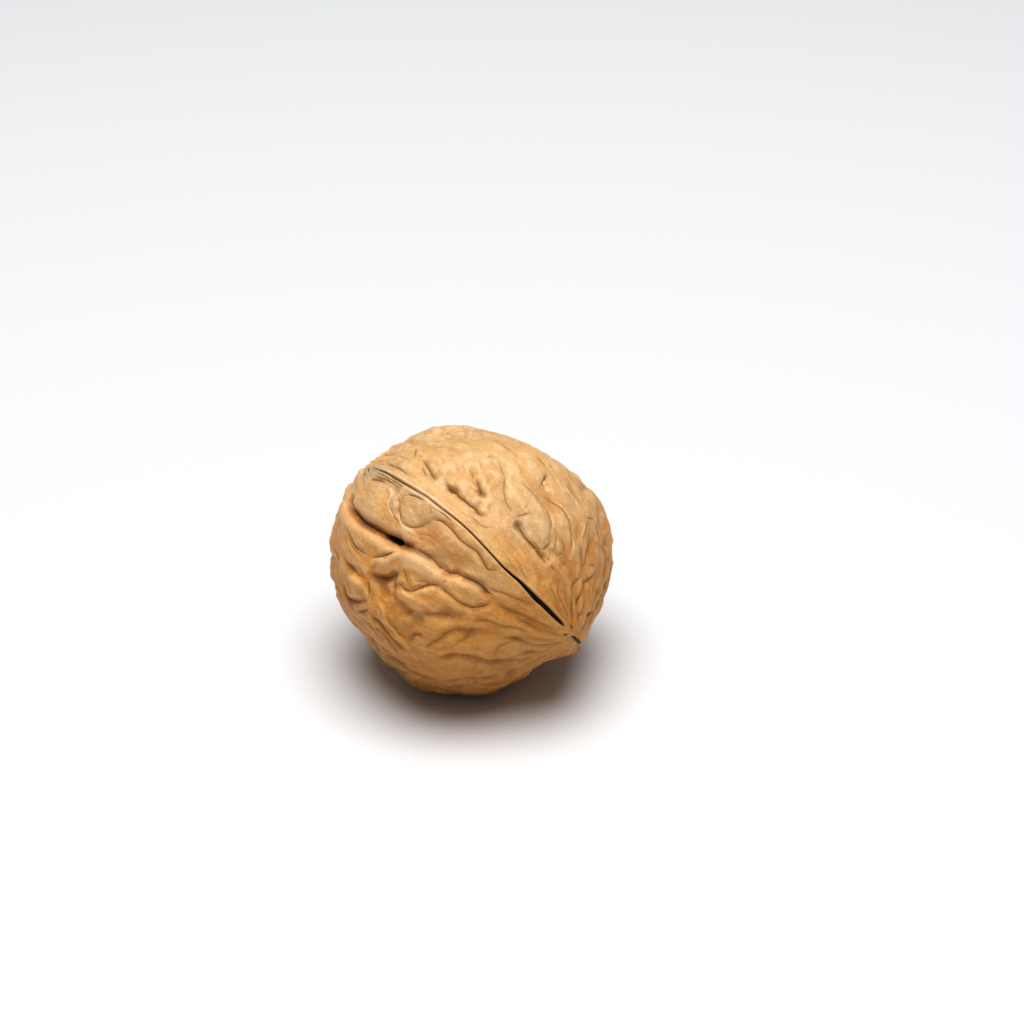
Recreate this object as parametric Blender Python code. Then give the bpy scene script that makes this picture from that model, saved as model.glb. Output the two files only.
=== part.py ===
"""A walnut in its closed shell, lying on its side on a small flat spot.

The shell is one solid. It starts as a cube cut into a grid, which is blown up to an ellipsoid
with its grid lines along the seam. The surface is then moved along its normals: the seam's
raised band and its crack, lobes, furrows, pits, a net of creases on the sides, and wrinkles
that run to both ends. Lengths are in millimetres until the mesh is placed.

The shell's own axes are X to the pointed tip, Y to the front seam and Z to the lower cheek.
"""
import math

import bmesh
import bpy
import numpy as np

MILLIMETRE = 0.001

# Half lengths of the plain body, from the middle of its long axis
TIP_LENGTH = 17.1
STEM_LENGTH = 19.5
SEAM_WIDTH = 17.5
LOWER_CHEEK = 18.7
UPPER_CHEEK = 17.2

# The tip's point and the hollow at the stem
TIP_POINT = 2.0
TIP_SPREAD = math.radians(11)
STEM_HOLLOW = 0.7
STEM_SPREAD = math.radians(9)

# Broad bulges and hollows: rise, spread, degrees towards the tip, degrees round from the front seam
BULGES = [
    (1.9, 28, 30, -110), (0.7, 22, 62, -140), (1.2, 24, 5, 112), (0.9, 22, 13, 160),
    (0.7, 26, -46, 66), (0.7, 16, -60, 8), (-0.5, 26, -26, -62), (-0.5, 9, 5, -73), (-0.8, 15, -8, 98),
]

# How it lies: the tip dips below level, and the front seam is rolled up from level
TIP_DIP = math.radians(12.75)
SEAM_ROLL = math.radians(56)
FLAT_DEPTH = 0.5
FLAT_CLEARING = 5.5

# Where the front face is seen from, so that marks on it can be placed as they look
FACE_AZIMUTH = math.radians(45)
FACE_ELEVATION = math.radians(32)
FACE_DISTANCE = 385.0
EYE_RIGHT = 4.9
EYE_UP = 6.0

# The grid: cells along a cube edge, and how close its lines stand beside the seam
CELLS = 30
SEAM_SPACING = 0.5
CURVE_STEPS = 4
FURROW_SHARE = 0.95
SIGHT_HALVINGS = 30

# The front seam from stem to tip, in millimetres right and up of the front face's middle
FRONT_SEAM = [
    (-14.6, 12.4), (-12.8, 11.6), (-11.1, 10.7), (-9.0, 9.5), (-7.1, 8.4), (-5.4, 7.2), (-4.0, 6.0),
    (-2.5, 4.85), (-1.0, 3.55), (0.7, 1.8), (2.2, 0.2), (3.6, -1.3), (5.1, -2.7), (6.7, -4.1),
    (8.0, -5.5), (9.7, -7.1), (10.9, -8.4), (11.9, -9.3), (12.8, -10.3),
]

# The seam's band and crack at even steps from stem to tip: height, crack depth, crack half width
SEAM_BAND_HEIGHT = [0.3, 0.7, 0.9, 0.9, 1.0, 1.1, 1.1, 0.9, 0.3]
SEAM_CRACK_DEPTH = [0.3, 0.5, 0.5, 0.6, 0.8, 1.1, 1.5, 1.2, 0.2]
SEAM_CRACK_WIDTH = [0.5, 0.5, 0.5, 0.5, 0.5, 0.6, 0.8, 0.8, 0.5]
SEAM_BAND_SPREAD = 2.1
BACK_BAND_HEIGHT = 1.0
BACK_CRACK_DEPTH = 0.6
BACK_CRACK_WIDTH = 0.6

# Furrows on the front face: depth, half width, lip, points. The lip is the rise of one bank,
# the left bank as the furrow runs when it is positive and the right bank when it is negative.
FRONT_FURROWS = [
    (1.4, 1.2, -0.5, [(-16.9, 8.2), (-16.4, 6.6), (-15.2, 5.0), (-13.1, 3.5), (-11.2, 2.4),
                      (-9.3, 1.3), (-7.1, 0.35), (-5.2, -1.0), (-3.5, -2.35), (-1.6, -2.8),
                      (0.4, -3.65), (2.0, -5.2), (3.0, -5.9)]),
    (0.5, 0.9, 0.0, [(-15.0, 0.4), (-13.1, 0.05), (-11.4, 0.3), (-10.1, 0.9)]),
    (1.2, 1.3, 0.6, [(-14.8, -1.4), (-13.4, -2.0), (-11.8, -2.1), (-10.6, -1.9)]),
    (0.8, 1.0, 0.2, [(-17.2, 4.6), (-16.6, 2.9), (-15.6, 1.1), (-14.9, 0.2), (-15.3, -0.6)]),
    (1.0, 1.2, 0.0, [(-18.1, 0.6), (-17.2, -1.0), (-15.9, -2.5), (-14.9, -3.3)]),
    (1.0, 1.2, 0.3, [(-18.7, -2.6), (-17.4, -4.7), (-15.9, -5.9), (-13.9, -5.9), (-12.6, -6.3)]),
    (0.5, 0.9, 0.0, [(-10.2, 6.0), (-9.7, 4.7), (-8.0, 4.0), (-6.4, 4.7), (-4.4, 4.65),
                     (-2.3, 2.5), (-0.8, 1.3), (0.3, 0.4), (1.5, -1.6), (3.8, -1.7)]),
    (0.4, 0.8, 0.0, [(-14.7, 10.8), (-12.9, 10.1), (-11.1, 9.4), (-9.8, 8.3), (-8.0, 7.9), (-6.2, 6.8)]),
    (0.5, 0.9, 0.0, [(-12.1, 9.7), (-11.4, 8.2), (-11.3, 6.2), (-10.5, 4.5), (-9.9, 3.2)]),
    (0.6, 0.9, -0.3, [(-10.3, -1.9), (-9.5, -2.8), (-9.2, -4.6), (-7.0, -4.15), (-5.0, -4.1),
                      (-3.2, -5.4), (-1.3, -6.65), (0.8, -6.9), (3.0, -6.3)]),
    (0.6, 0.9, 0.0, [(0.9, -3.9), (2.7, -4.7), (5.0, -5.4), (7.0, -6.3), (8.5, -6.5)]),
    (0.7, 1.2, 0.0, [(-7.8, -7.8), (-5.3, -7.9), (-3.2, -8.3), (-0.8, -8.9)]),
    (0.5, 0.9, 0.3, [(-16.0, -6.9), (-14.3, -8.1), (-12.0, -10.0), (-10.7, -11.4), (-8.3, -13.6)]),
    (0.9, 1.2, 0.0, [(-13.9, -11.4), (-12.0, -13.7), (-10.0, -14.5), (-7.0, -16.0), (-4.5, -17.2)]),
    (0.6, 1.2, 0.2, [(-7.1, -12.4), (-5.0, -11.1), (-3.0, -9.9), (0.0, -10.1), (3.0, -11.0)]),
    (0.7, 0.9, 0.0, [(-4.1, 10.3), (-3.2, 8.9), (-1.8, 7.7), (0.0, 6.25), (1.5, 5.5), (3.0, 5.0)]),
    (0.7, 0.9, 0.0, [(-0.3, 12.3), (0.1, 10.4), (1.0, 8.4), (2.2, 8.3)]),
    (0.6, 0.9, 0.0, [(-8.3, 14.6), (-7.1, 12.8), (-6.0, 11.1), (-5.0, 10.6)]),
    (0.6, 0.9, 0.0, [(10.9, 12.3), (9.9, 11.9), (9.2, 10.3), (9.9, 9.1), (11.2, 7.2), (12.2, 5.6)]),
    (0.4, 0.9, 0.0, [(3.1, 14.4), (3.8, 11.0), (3.9, 8.3), (4.7, 6.4)]),
    (0.8, 0.9, 0.0, [(8.4, 5.85), (5.7, 5.4), (5.8, 4.2), (7.0, 2.1), (8.4, 0.6), (10.0, -2.0),
                     (11.1, -4.3), (11.9, -6.8), (12.7, -8.9)]),
    (0.4, 0.8, 0.0, [(8.1, 0.95), (9.4, 1.05), (9.9, 2.6), (10.2, 4.8)]),
    (0.6, 0.9, 0.0, [(13.9, 2.6), (14.3, -0.5), (13.0, -4.2), (12.8, -6.9), (13.05, -9.4)]),
    (0.6, 0.9, 0.0, [(16.4, 4.0), (15.7, 1.4), (14.9, -0.8), (14.0, -2.9)]),
    (0.6, 0.9, 0.0, [(16.2, -1.5), (15.1, -3.1), (13.9, -5.4), (13.2, -9.0)]),
    (0.6, 0.9, 0.0, [(16.5, -6.0), (15.0, -8.0), (13.7, -9.8)]),
]

# Raised lobes on the front face: height, radius, middle
FRONT_LOBES = [
    (0.8, 2.8, (-14.1, 7.1)), (0.3, 1.9, (-8.5, 6.3)), (0.6, 2.4, (-8.3, -0.9)),
    (0.5, 1.6, (-12.6, -0.3)), (0.3, 2.2, (-1.4, -4.8)), (0.3, 2.0, (8.0, 3.3)),
    (0.5, 2.0, (-16.3, -4.0)), (0.4, 2.6, (-7.5, -9.6)), (0.3, 2.2, (-3.5, 2.0)),
]

# Pits on the front face: depth, radius, middle
FRONT_PITS = [
    (1.1, 0.9, (-10.6, 2.1)), (1.0, 2.2, (-12.9, -3.4)), (0.6, 0.8, (-3.1, 8.9)),
    (0.6, 0.7, (0.9, 8.4)), (0.4, 0.8, (-0.3, 11.4)), (0.6, 0.7, (5.6, 4.2)),
    (0.4, 0.8, (-5.4, 10.7)), (0.4, 0.9, (5.8, 13.2)),
]

# Slow swells over the whole shell
SWELL_HEIGHT = 0.35
SWELL_LENGTH = 16.0

# The net of creases: cells over the whole shell, their stretch along it, depth, half width and warp
NET_CELLS = 120
NET_STRETCH = 0.6
NET_DEPTH = 0.75
NET_WIDTH = 2.6
NET_WARP = 1.4
NET_WARP_LENGTH = 9.0
NET_SHARE_IN_FRONT = 0.25

# Wrinkles towards both ends
WRINKLE_COUNT = 13
WRINKLE_HEIGHT = 0.35
WRINKLE_SPREAD = math.radians(38)
SEED = 7

SHELL_COLOUR = (0.50, 0.27, 0.115, 1.0)
SHELL_ROUGHNESS = 0.55


def smooth_step(low, high, value):
    """Rise from 0 at low to 1 at high, level at both ends."""
    share = np.clip((value - low) / (high - low), 0.0, 1.0)
    return share * share * (3.0 - 2.0 * share)


def resting_axes():
    """The shell's own three axes, one a row, as it lies."""
    along = np.array((math.cos(TIP_DIP), 0.0, -math.sin(TIP_DIP)))
    above = np.array((math.sin(TIP_DIP), 0.0, math.cos(TIP_DIP)))
    seam = math.cos(SEAM_ROLL) * np.array((0.0, -1.0, 0.0)) + math.sin(SEAM_ROLL) * above
    return np.array((along, seam, np.cross(along, seam)))


def face_axes():
    """Right, up and towards the viewer on the front face, in the shell's own axes."""
    back = np.array((math.sin(FACE_AZIMUTH) * math.cos(FACE_ELEVATION),
                     -math.cos(FACE_AZIMUTH) * math.cos(FACE_ELEVATION),
                     math.sin(FACE_ELEVATION)))
    right = np.array((math.cos(FACE_AZIMUTH), math.sin(FACE_AZIMUTH), 0.0))
    return np.array((right, np.cross(back, right), back)) @ resting_axes().T


def half_lengths(points):
    """The body's half length along each axis, on the side of the middle where each point is."""
    lengths = np.empty_like(points)
    lengths[:, 0] = np.where(points[:, 0] > 0.0, TIP_LENGTH, STEM_LENGTH)
    lengths[:, 1] = SEAM_WIDTH
    lengths[:, 2] = np.where(points[:, 2] > 0.0, LOWER_CHEEK, UPPER_CHEEK)
    return lengths


def smooth_curve(points):
    """A Catmull-Rom curve through points."""
    points = np.asarray(points, dtype=float)
    padded = np.vstack((2.0 * points[0] - points[1], points, 2.0 * points[-1] - points[-2]))
    curve = []
    for before, start, end, after in zip(padded[:-3], padded[1:-2], padded[2:-1], padded[3:]):
        for step in range(CURVE_STEPS):
            t = step / CURVE_STEPS
            curve.append(0.5 * (2.0 * start + (end - before) * t
                                + (2.0 * before - 5.0 * start + 4.0 * end - after) * t * t
                                + (3.0 * start - before - 3.0 * end + after) * t ** 3))
    curve.append(points[-1])
    return np.array(curve)


def on_body(marks):
    """Carry marks seen on the front face along the line of sight onto the plain body."""
    right, up, back = face_axes()
    eye = back * FACE_DISTANCE + right * EYE_RIGHT + up * EYE_UP
    marks = np.asarray(marks, dtype=float)
    sight = marks[:, :1] * right + marks[:, 1:] * up - eye
    sight /= np.linalg.norm(sight, axis=1, keepdims=True)
    far = -(sight @ eye)
    near = far - 2.0 * STEM_LENGTH
    for _ in range(SIGHT_HALVINGS):
        middle = 0.5 * (near + far)
        points = eye + middle[:, None] * sight
        inside = np.sum((points / half_lengths(points)) ** 2, axis=1) < 1.0
        far = np.where(inside, middle, far)
        near = np.where(inside, near, middle)
    return eye + far[:, None] * sight


def from_line(points, normals, line):
    """Each point's distance from a line, its place along it from 0 to 1, and the bank it is on."""
    distance = np.full(len(points), np.inf)
    along = np.zeros(len(points))
    bank = np.zeros(len(points))
    for index, (start, end) in enumerate(zip(line[:-1], line[1:])):
        edge = end - start
        share = np.clip((points - start) @ edge / (edge @ edge), 0.0, 1.0)
        offset = points - start - share[:, None] * edge
        gap = np.linalg.norm(offset, axis=1)
        nearer = gap < distance
        distance[nearer] = gap[nearer]
        along[nearer] = (index + share[nearer]) / (len(line) - 1)
        bank[nearer] = np.sign(np.sum(offset * np.cross(normals, edge), axis=1))[nearer]
    return distance, along, bank


def furrows(points, normals):
    """Height of the front furrows: the deepest one counts, and their lips stand up beside them."""
    cut = np.zeros(len(points))
    lips = np.zeros(len(points))
    for depth, width, lip, marks in FRONT_FURROWS:
        distance, along, bank = from_line(points, normals, on_body(smooth_curve(marks)))
        taper = smooth_step(0.0, 0.15, along) * smooth_step(0.0, 0.15, 1.0 - along)
        cut = np.maximum(cut, depth * taper * np.exp(-(distance / (FURROW_SHARE * width)) ** 2))
        crest = np.exp(-((distance - 1.1 * width) / (0.8 * width)) ** 2)
        lips += abs(lip) * taper * crest * (bank * math.copysign(1.0, lip) > 0.0)
    return lips - cut


def mounds(points, shapes, power):
    """Sum of round mounds, each a height, a radius and a middle on the front face."""
    height = np.zeros(len(points))
    middles = on_body([middle for _, _, middle in shapes])
    for (rise, radius, _), middle in zip(shapes, middles):
        distance = np.linalg.norm(points - middle, axis=1)
        height += rise * np.exp(-(distance / radius) ** power)
    return height


def front_seam(points, normals):
    """Height of the front seam's band and crack."""
    distance, along, _ = from_line(points, normals, on_body(smooth_curve(FRONT_SEAM)))
    steps = np.linspace(0.0, 1.0, len(SEAM_BAND_HEIGHT))
    band = np.interp(along, steps, SEAM_BAND_HEIGHT) * np.exp(-(distance / SEAM_BAND_SPREAD) ** 2)
    width = np.interp(along, steps, SEAM_CRACK_WIDTH)
    crack = np.interp(along, steps, SEAM_CRACK_DEPTH) * np.clip(1.0 - distance / width, 0.0, 1.0) ** 1.5
    return band - crack


def back_seam_turn(station):
    """How far the back seam wanders about the long axis at each station from stem to tip."""
    return math.radians(3.0) * np.sin(4.0 * station + 0.6) * (1.0 - station ** 2)


def back_seam(points, directions):
    """Height of the back seam's band and crack."""
    turn = np.arctan2(directions[:, 2], -directions[:, 1]) + back_seam_turn(directions[:, 0])
    radius = np.hypot(points[:, 1], points[:, 2])
    distance = np.abs(turn) * radius
    off_the_ends = smooth_step(0.0, 0.45, np.hypot(directions[:, 1], directions[:, 2]))
    band = BACK_BAND_HEIGHT * np.exp(-(distance / SEAM_BAND_SPREAD) ** 2)
    crack = BACK_CRACK_DEPTH * np.clip(1.0 - distance / BACK_CRACK_WIDTH, 0.0, 1.0) ** 1.5
    return off_the_ends * (band - crack)


def waves(points, wavelength, count, generator):
    """Smooth noise of about unit size: a sum of sine waves in chance directions."""
    total = np.zeros(len(points))
    for _ in range(count):
        heading = generator.normal(size=3)
        heading *= 2.0 * math.pi / (wavelength * np.linalg.norm(heading))
        total += np.sin(points @ heading + generator.uniform(0.0, 2.0 * math.pi))
    return total * math.sqrt(2.0 / count)


def net_creases(points, generator):
    """Depth of the creases between cells that are scattered evenly and stretched along the shell."""
    index = np.arange(NET_CELLS) + 0.5
    polar = np.arccos(1.0 - 2.0 * index / NET_CELLS)
    around = math.pi * (1.0 + math.sqrt(5.0)) * index
    middles = np.column_stack((np.cos(polar), np.sin(polar) * np.cos(around), np.sin(polar) * np.sin(around)))
    middles = middles * SEAM_WIDTH + generator.normal(scale=1.0, size=middles.shape)
    warp = [waves(points, NET_WARP_LENGTH, 8, generator) for _ in range(3)]
    warped = points + NET_WARP * np.column_stack(warp)
    stretch = np.array((NET_STRETCH, 1.0, 1.0))
    gaps = np.linalg.norm((warped[:, None, :] - middles[None, :, :]) * stretch, axis=2)
    nearest = np.partition(gaps, 1, axis=1)[:, :2]
    return NET_DEPTH * np.clip(1.0 - (nearest[:, 1] - nearest[:, 0]) / NET_WIDTH, 0.0, 1.0) ** 2


def wrinkles(directions, generator):
    """Height of the wrinkles that run to the tip and the stem."""
    turn = np.arctan2(directions[:, 2], directions[:, 1])
    off_axis = np.arccos(np.clip(np.abs(directions[:, 0]), 0.0, 1.0))
    height = np.zeros(len(directions))
    for count in (WRINKLE_COUNT, WRINKLE_COUNT + 4, WRINKLE_COUNT + 9):
        height += np.sin(count * turn + generator.uniform(0.0, 2.0 * math.pi)) / 3.0
    near_end = np.exp(-(off_axis / WRINKLE_SPREAD) ** 2) * smooth_step(0.05, 0.35, off_axis)
    return WRINKLE_HEIGHT * height * near_end


def bulges(directions):
    """Height of the broad bulges and hollows."""
    height = np.zeros(len(directions))
    for rise, spread, tipward, turn in BULGES:
        tipward, turn = math.radians(tipward), math.radians(turn)
        heading = np.array((math.sin(tipward), math.cos(tipward) * math.cos(turn),
                            math.cos(tipward) * math.sin(turn)))
        angle = np.arccos(np.clip(directions @ heading, -1.0, 1.0))
        height += rise * np.exp(-(angle / math.radians(spread)) ** 2)
    return height


def ends(directions):
    """Rise of the pointed tip, and the hollow at the stem."""
    from_tip = np.arccos(np.clip(directions[:, 0], -1.0, 1.0))
    from_stem = math.pi - from_tip
    return TIP_POINT * np.exp(-from_tip / TIP_SPREAD) - STEM_HOLLOW * np.exp(-(from_stem / STEM_SPREAD) ** 2)


def lowest_point():
    """The plain body's lowest point as it lies, where the relief fades out round the flat spot."""
    down = -resting_axes()[:, 2]
    lengths = half_lengths(down[None, :])[0]
    return lengths ** 2 * down / np.linalg.norm(lengths * down)


def relief(points, normals, directions):
    """Height of the whole relief above the plain body."""
    generator = np.random.default_rng(SEED)
    facing = normals @ face_axes()[2]
    net_share = 1.0 - (1.0 - NET_SHARE_IN_FRONT) * smooth_step(0.0, 0.35, facing)
    height = SWELL_HEIGHT * waves(points, SWELL_LENGTH, 10, generator)
    height -= net_share * net_creases(points, generator)
    height += wrinkles(directions, generator) + ends(directions)
    height += front_seam(points, normals) + back_seam(points, directions) + furrows(points, normals)
    height += mounds(points, FRONT_LOBES, 3) - mounds(points, FRONT_PITS, 2)
    from_rest = np.linalg.norm(points - lowest_point(), axis=1)
    return bulges(directions) + height * smooth_step(0.6 * FLAT_CLEARING, 1.5 * FLAT_CLEARING, from_rest)


def seam_aligned(corners):
    """Turn a cube's surface points into directions, with the middle grid line on both seams."""
    spread = np.tan(corners * math.pi / 4.0)
    spread[:, 2] *= SEAM_SPACING + (1.0 - SEAM_SPACING) * spread[:, 2] ** 2
    directions = spread / np.linalg.norm(spread, axis=1, keepdims=True)
    seam = on_body(smooth_curve(FRONT_SEAM))
    seam = seam / half_lengths(seam)
    seam_turn = np.interp(directions[:, 0], seam[:, 0], np.arctan2(seam[:, 2], seam[:, 1]))
    radius = np.hypot(directions[:, 1], directions[:, 2])
    turn = np.arctan2(directions[:, 2], directions[:, 1])
    in_front = (0.5 + 0.5 * np.cos(turn)) ** 2
    behind = (0.5 - 0.5 * np.cos(turn)) ** 2
    turn = turn + seam_turn * in_front + back_seam_turn(directions[:, 0]) * behind
    return np.column_stack((directions[:, 0], radius * np.cos(turn), radius * np.sin(turn)))


def shell_surface(corners):
    """The shell's surface as it lies, with its flat spot at height 0 under its middle."""
    directions = seam_aligned(corners)
    lengths = half_lengths(directions)
    points = directions * lengths
    normals = directions / lengths
    normals /= np.linalg.norm(normals, axis=1, keepdims=True)
    surface = points + normals * relief(points, normals, directions)[:, None]
    surface = surface @ resting_axes()
    floor = surface[:, 2].min() + FLAT_DEPTH
    surface[:, 2] = np.maximum(surface[:, 2], floor) - floor
    middle = 0.5 * (surface.min(axis=0) + surface.max(axis=0))
    surface[:, :2] -= middle[:2]
    return surface


def build_shell():
    """The walnut as one closed mesh."""
    model = bmesh.new()
    bmesh.ops.create_cube(model, size=2.0)
    bmesh.ops.subdivide_edges(model, edges=model.edges[:], cuts=CELLS - 1, use_grid_fill=True)
    corners = np.array([vertex.co[:] for vertex in model.verts])
    for vertex, place in zip(model.verts, shell_surface(corners) * MILLIMETRE):
        vertex.co = place
    bmesh.ops.triangulate(model, faces=model.faces[:], quad_method="SHORT_EDGE")
    bmesh.ops.recalc_face_normals(model, faces=model.faces[:])
    mesh = bpy.data.meshes.new("walnut")
    model.to_mesh(mesh)
    model.free()
    mesh.shade_smooth()
    return bpy.data.objects.new("walnut", mesh)


def shell_material():
    """Dry, light brown shell."""
    material = bpy.data.materials.new("shell")
    material.use_nodes = True
    shader = material.node_tree.nodes["Principled BSDF"]
    shader.inputs["Base Color"].default_value = SHELL_COLOUR
    shader.inputs["Roughness"].default_value = SHELL_ROUGHNESS
    shader.inputs["Metallic"].default_value = 0.0
    return material


def main():
    for old in list(bpy.data.objects):
        bpy.data.objects.remove(old, do_unlink=True)
    collection = bpy.data.collections.new("Walnut")
    bpy.context.scene.collection.children.link(collection)
    walnut = build_shell()
    walnut.data.materials.append(shell_material())
    collection.objects.link(walnut)


main()
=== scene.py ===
"""The walnut on a pale studio floor.

One closed shell replaces the plain solid and keeps its form. Its relief is made over again on a
finer grid: sharp creases between puffed plates, pale ridges, the seam's narrow crack, pits and
small wrinkles. What the surface does at each point is kept in attributes, which the shell's
material reads for its colour, gloss and bump. Through some of them it paints shade into hollows,
creases and cracks, and highlight onto raised edges.

Lengths are in millimetres until they reach the mesh, the camera or a lamp. The shell's own axes
are X to the pointed tip, Y to the front seam and Z to the lower cheek. Routes on the front face
are in millimetres right and up of its middle, as the camera sees them.
"""

import math

import bmesh
import bpy
import numpy as np
from mathutils import Matrix, Vector, kdtree, noise


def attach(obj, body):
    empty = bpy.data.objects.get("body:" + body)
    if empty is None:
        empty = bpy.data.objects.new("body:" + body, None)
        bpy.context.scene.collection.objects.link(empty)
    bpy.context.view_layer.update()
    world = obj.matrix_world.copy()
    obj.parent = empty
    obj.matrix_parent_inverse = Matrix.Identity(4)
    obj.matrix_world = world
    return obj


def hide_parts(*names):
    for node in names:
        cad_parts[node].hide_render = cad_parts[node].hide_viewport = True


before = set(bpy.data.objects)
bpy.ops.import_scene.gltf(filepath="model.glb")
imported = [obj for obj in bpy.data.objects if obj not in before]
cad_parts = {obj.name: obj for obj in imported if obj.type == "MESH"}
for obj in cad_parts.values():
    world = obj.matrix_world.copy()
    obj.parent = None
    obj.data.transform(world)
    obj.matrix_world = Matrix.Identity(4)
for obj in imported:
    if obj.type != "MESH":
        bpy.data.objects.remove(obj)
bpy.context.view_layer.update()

MILLIMETRE = 0.001

# Half lengths of the plain body, from the middle of its long axis
TIP_LENGTH = 17.1
STEM_LENGTH = 19.5
SEAM_WIDTH = 17.5
LOWER_CHEEK = 18.7
UPPER_CHEEK = 17.2

# The tip's point and the hollow at the stem
TIP_POINT = 2.0
TIP_SPREAD = math.radians(11)
STEM_HOLLOW = 0.7
STEM_SPREAD = math.radians(9)

# Broad bulges and hollows: rise, spread, degrees towards the tip, degrees round from the front seam
BULGES = [
    (1.9, 28, 30, -110), (0.7, 22, 62, -140), (1.2, 24, 5, 112), (0.9, 22, 13, 160),
    (0.7, 26, -46, 66), (0.7, 16, -60, 8), (-0.5, 26, -26, -62), (-0.5, 9, 5, -73), (-0.8, 15, -8, 98),
]

# How it lies, where its middle stands, and between which distances from its lowest point the relief
# comes in round the flat spot
TIP_DIP = math.radians(12.75)
SEAM_ROLL = math.radians(56)
SHELL_MIDDLE = (0.109, 0.197, 18.104)
FLAT_RADIUS = 3.3
CLEAR_RADIUS = 8.25

# The camera, and the point that it looks at, right and up of the shell's middle
VIEW_AZIMUTH = math.radians(45)
VIEW_ELEVATION = math.radians(32)
VIEW_DISTANCE = 385.0
AIM_RIGHT = 4.9
AIM_UP = 6.0
LENS = 100.0
SENSOR = 36.0

# The lamp hangs above, a little towards the camera, over a plain floor
LAMP_DISTANCE = 800.0
LAMP_LEAN = math.radians(6)
LAMP_SIZE = 700.0
LAMP_WATTS = 7.9
WORLD_STRENGTH = 0.14
GAMMA = 0.85
FLOOR_SIZE = 3000.0
FLOOR_COLOUR = (0.86, 0.87, 0.885, 1.0)
FLOOR_ROUGHNESS = 0.9

# Shell colours
PALE_TAN = (0.84, 0.52, 0.225, 1.0)
WARM_TAN = (0.76, 0.37, 0.09, 1.0)
HOLLOW_PAINTED_SHADE = (0.41, 0.17, 0.04, 1.0)
CREAM = (0.93, 0.62, 0.31, 1.0)
ORANGE = (0.66, 0.26, 0.045, 1.0)
GREY_TAN = (0.50, 0.36, 0.20, 1.0)
CREASE_PAINTED_SHADE = (0.42, 0.21, 0.07, 1.0)
SHADOW_BROWN = (0.17, 0.08, 0.03, 1.0)
LINE_ORANGE = (0.36, 0.135, 0.028, 1.0)
LINE_BROWN = (0.11, 0.04, 0.012, 1.0)
SLIT_SHADE_AND_SPOT_BLACK = (0.035, 0.026, 0.019, 1.0)

# Painted light and shade by height: paler on top, darker and deeper in colour low down
TOP_PAINTED_LIGHT = (1.02, 1.11, 1.32, 1.0)
LOW_PAINTED_SHADE = (0.93, 0.74, 0.4, 1.0)
PAINTED_LIGHT_HEIGHTS = (16.0, 34.0)

# Noises that run along the shell and noises in space: scale, detail, roughness and distortion
ALONG_NOISES = {
    "fibre": (1.3, 4.0, 0.6, 0.6), "fleck": (2.9, 2.0, 0.5, 0.4), "streak": (0.5, 4.0, 0.65, 1.0),
}
SPACE_NOISES = {
    "broad": (0.16, 3.0, 0.6, 0.0), "patch": (0.55, 4.0, 0.6, 0.5), "mottle": (1.7, 4.0, 0.7, 0.6),
    "grit": (4.5, 3.0, 0.7, 0.0),
}
# How fast the noises along the shell change with the station, and with the turn round the long axis
ALONG_PITCH = 0.45
ROUND_PITCH = 30.0

# Coats of colour over the pale tan, each over the ones before: the noise or attribute that it
# follows, where it starts to show and is full, its greatest share and its colour. The pale tan that
# comes in by height is painted light on the top, and the red brown in the hollows is painted shade.
GROUND_COATS = [
    ("broad", 0.35, 0.65, 1.0, WARM_TAN), ("patch", 0.42, 0.7, 0.6, WARM_TAN),
    ("above", 14.0, 34.0, 0.35, PALE_TAN), ("mottle", 0.48, 0.72, 0.35, CREAM),
    ("mottle", 0.48, 0.28, 0.4, WARM_TAN), ("streak", 0.52, 0.66, 0.4, ORANGE),
    ("patch", 0.4, 0.25, 0.3, GREY_TAN), ("hollow", 0.02, 0.45, 0.68, HOLLOW_PAINTED_SHADE),
]
# Painted shade beside the creases, orange stains that are partly painted shade, and grey areas
STROKE_COATS = [("crease_shade", 0.4, CREASE_PAINTED_SHADE), ("stain_and_shade", 1.0, ORANGE), ("grey", 1.0, GREY_TAN)]
# Cream on raised edges is painted highlight over their paler colour, cream on the pale ridges is partly
# their own colour and partly painted highlight, and the pale flecks are the shell's own
PALE_AND_HIGHLIGHT_COATS = [
    ("edge", 0.005, 0.05, 0.45, CREAM), ("crest", 0.2, 1.0, 0.75, CREAM),
    ("fleck", 0.58, 0.7, 0.35, CREAM),
]

# Painted shade that darkens the shell towards the ground, and random tone from the fibre and grit noises:
# what each follows, between which values, and how bright it is at both
TONES_AND_PAINTED_SHADE = [("above", 0.0, 24.0, 0.56, 1.0), ("fibre", 0.3, 0.7, 0.94, 1.04), ("grit", 0.3, 0.7, 0.93, 1.06)]

# Kinds of crease: how wide each is drawn, and how dark; the dark is partly the shell's own brown and
# partly painted shade. Then how dark a crease is where its brown starts and is full, and where it
# starts to show and shows most, and the soft edge of the slits
DRAWN_CREASES = {"line": (0.12, 1.0), "net": (0.16, 0.6), "fold": (0.13, 0.7), "small": (0.12, 0.4)}
CREASE_DARK_BROWNS = (0.45, 0.95)
CREASE_DARK_SHOWS = (0.05, 0.7, 0.0, 0.9)
SLIT_EDGE = (0.07, -0.05)

# Roughness over the patches, what the creases add to it, and the gloss
ROUGHNESS = (0.3, 0.7, 0.38, 0.55)
CREASE_ROUGHNESS = 0.25
SPECULAR = 0.4

# How high the noises stand as bumps, and how deep the drawn creases
BUMPS = {"fibre": 0.07, "grit": 0.04, "mottle": 0.1, "patch": 0.15}
DRAWN_DEPTH = 0.12

# The grid: cells along a cube edge, and how close its lines stand beside the seam
CELLS = 128
SEAM_SPACING = 0.5

# How finely routes are curved, and how closely they are fitted to the form
CURVE_STEPS = 4
SIGHT_HALVINGS = 30
FIT_ROUNDS = 4

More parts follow.
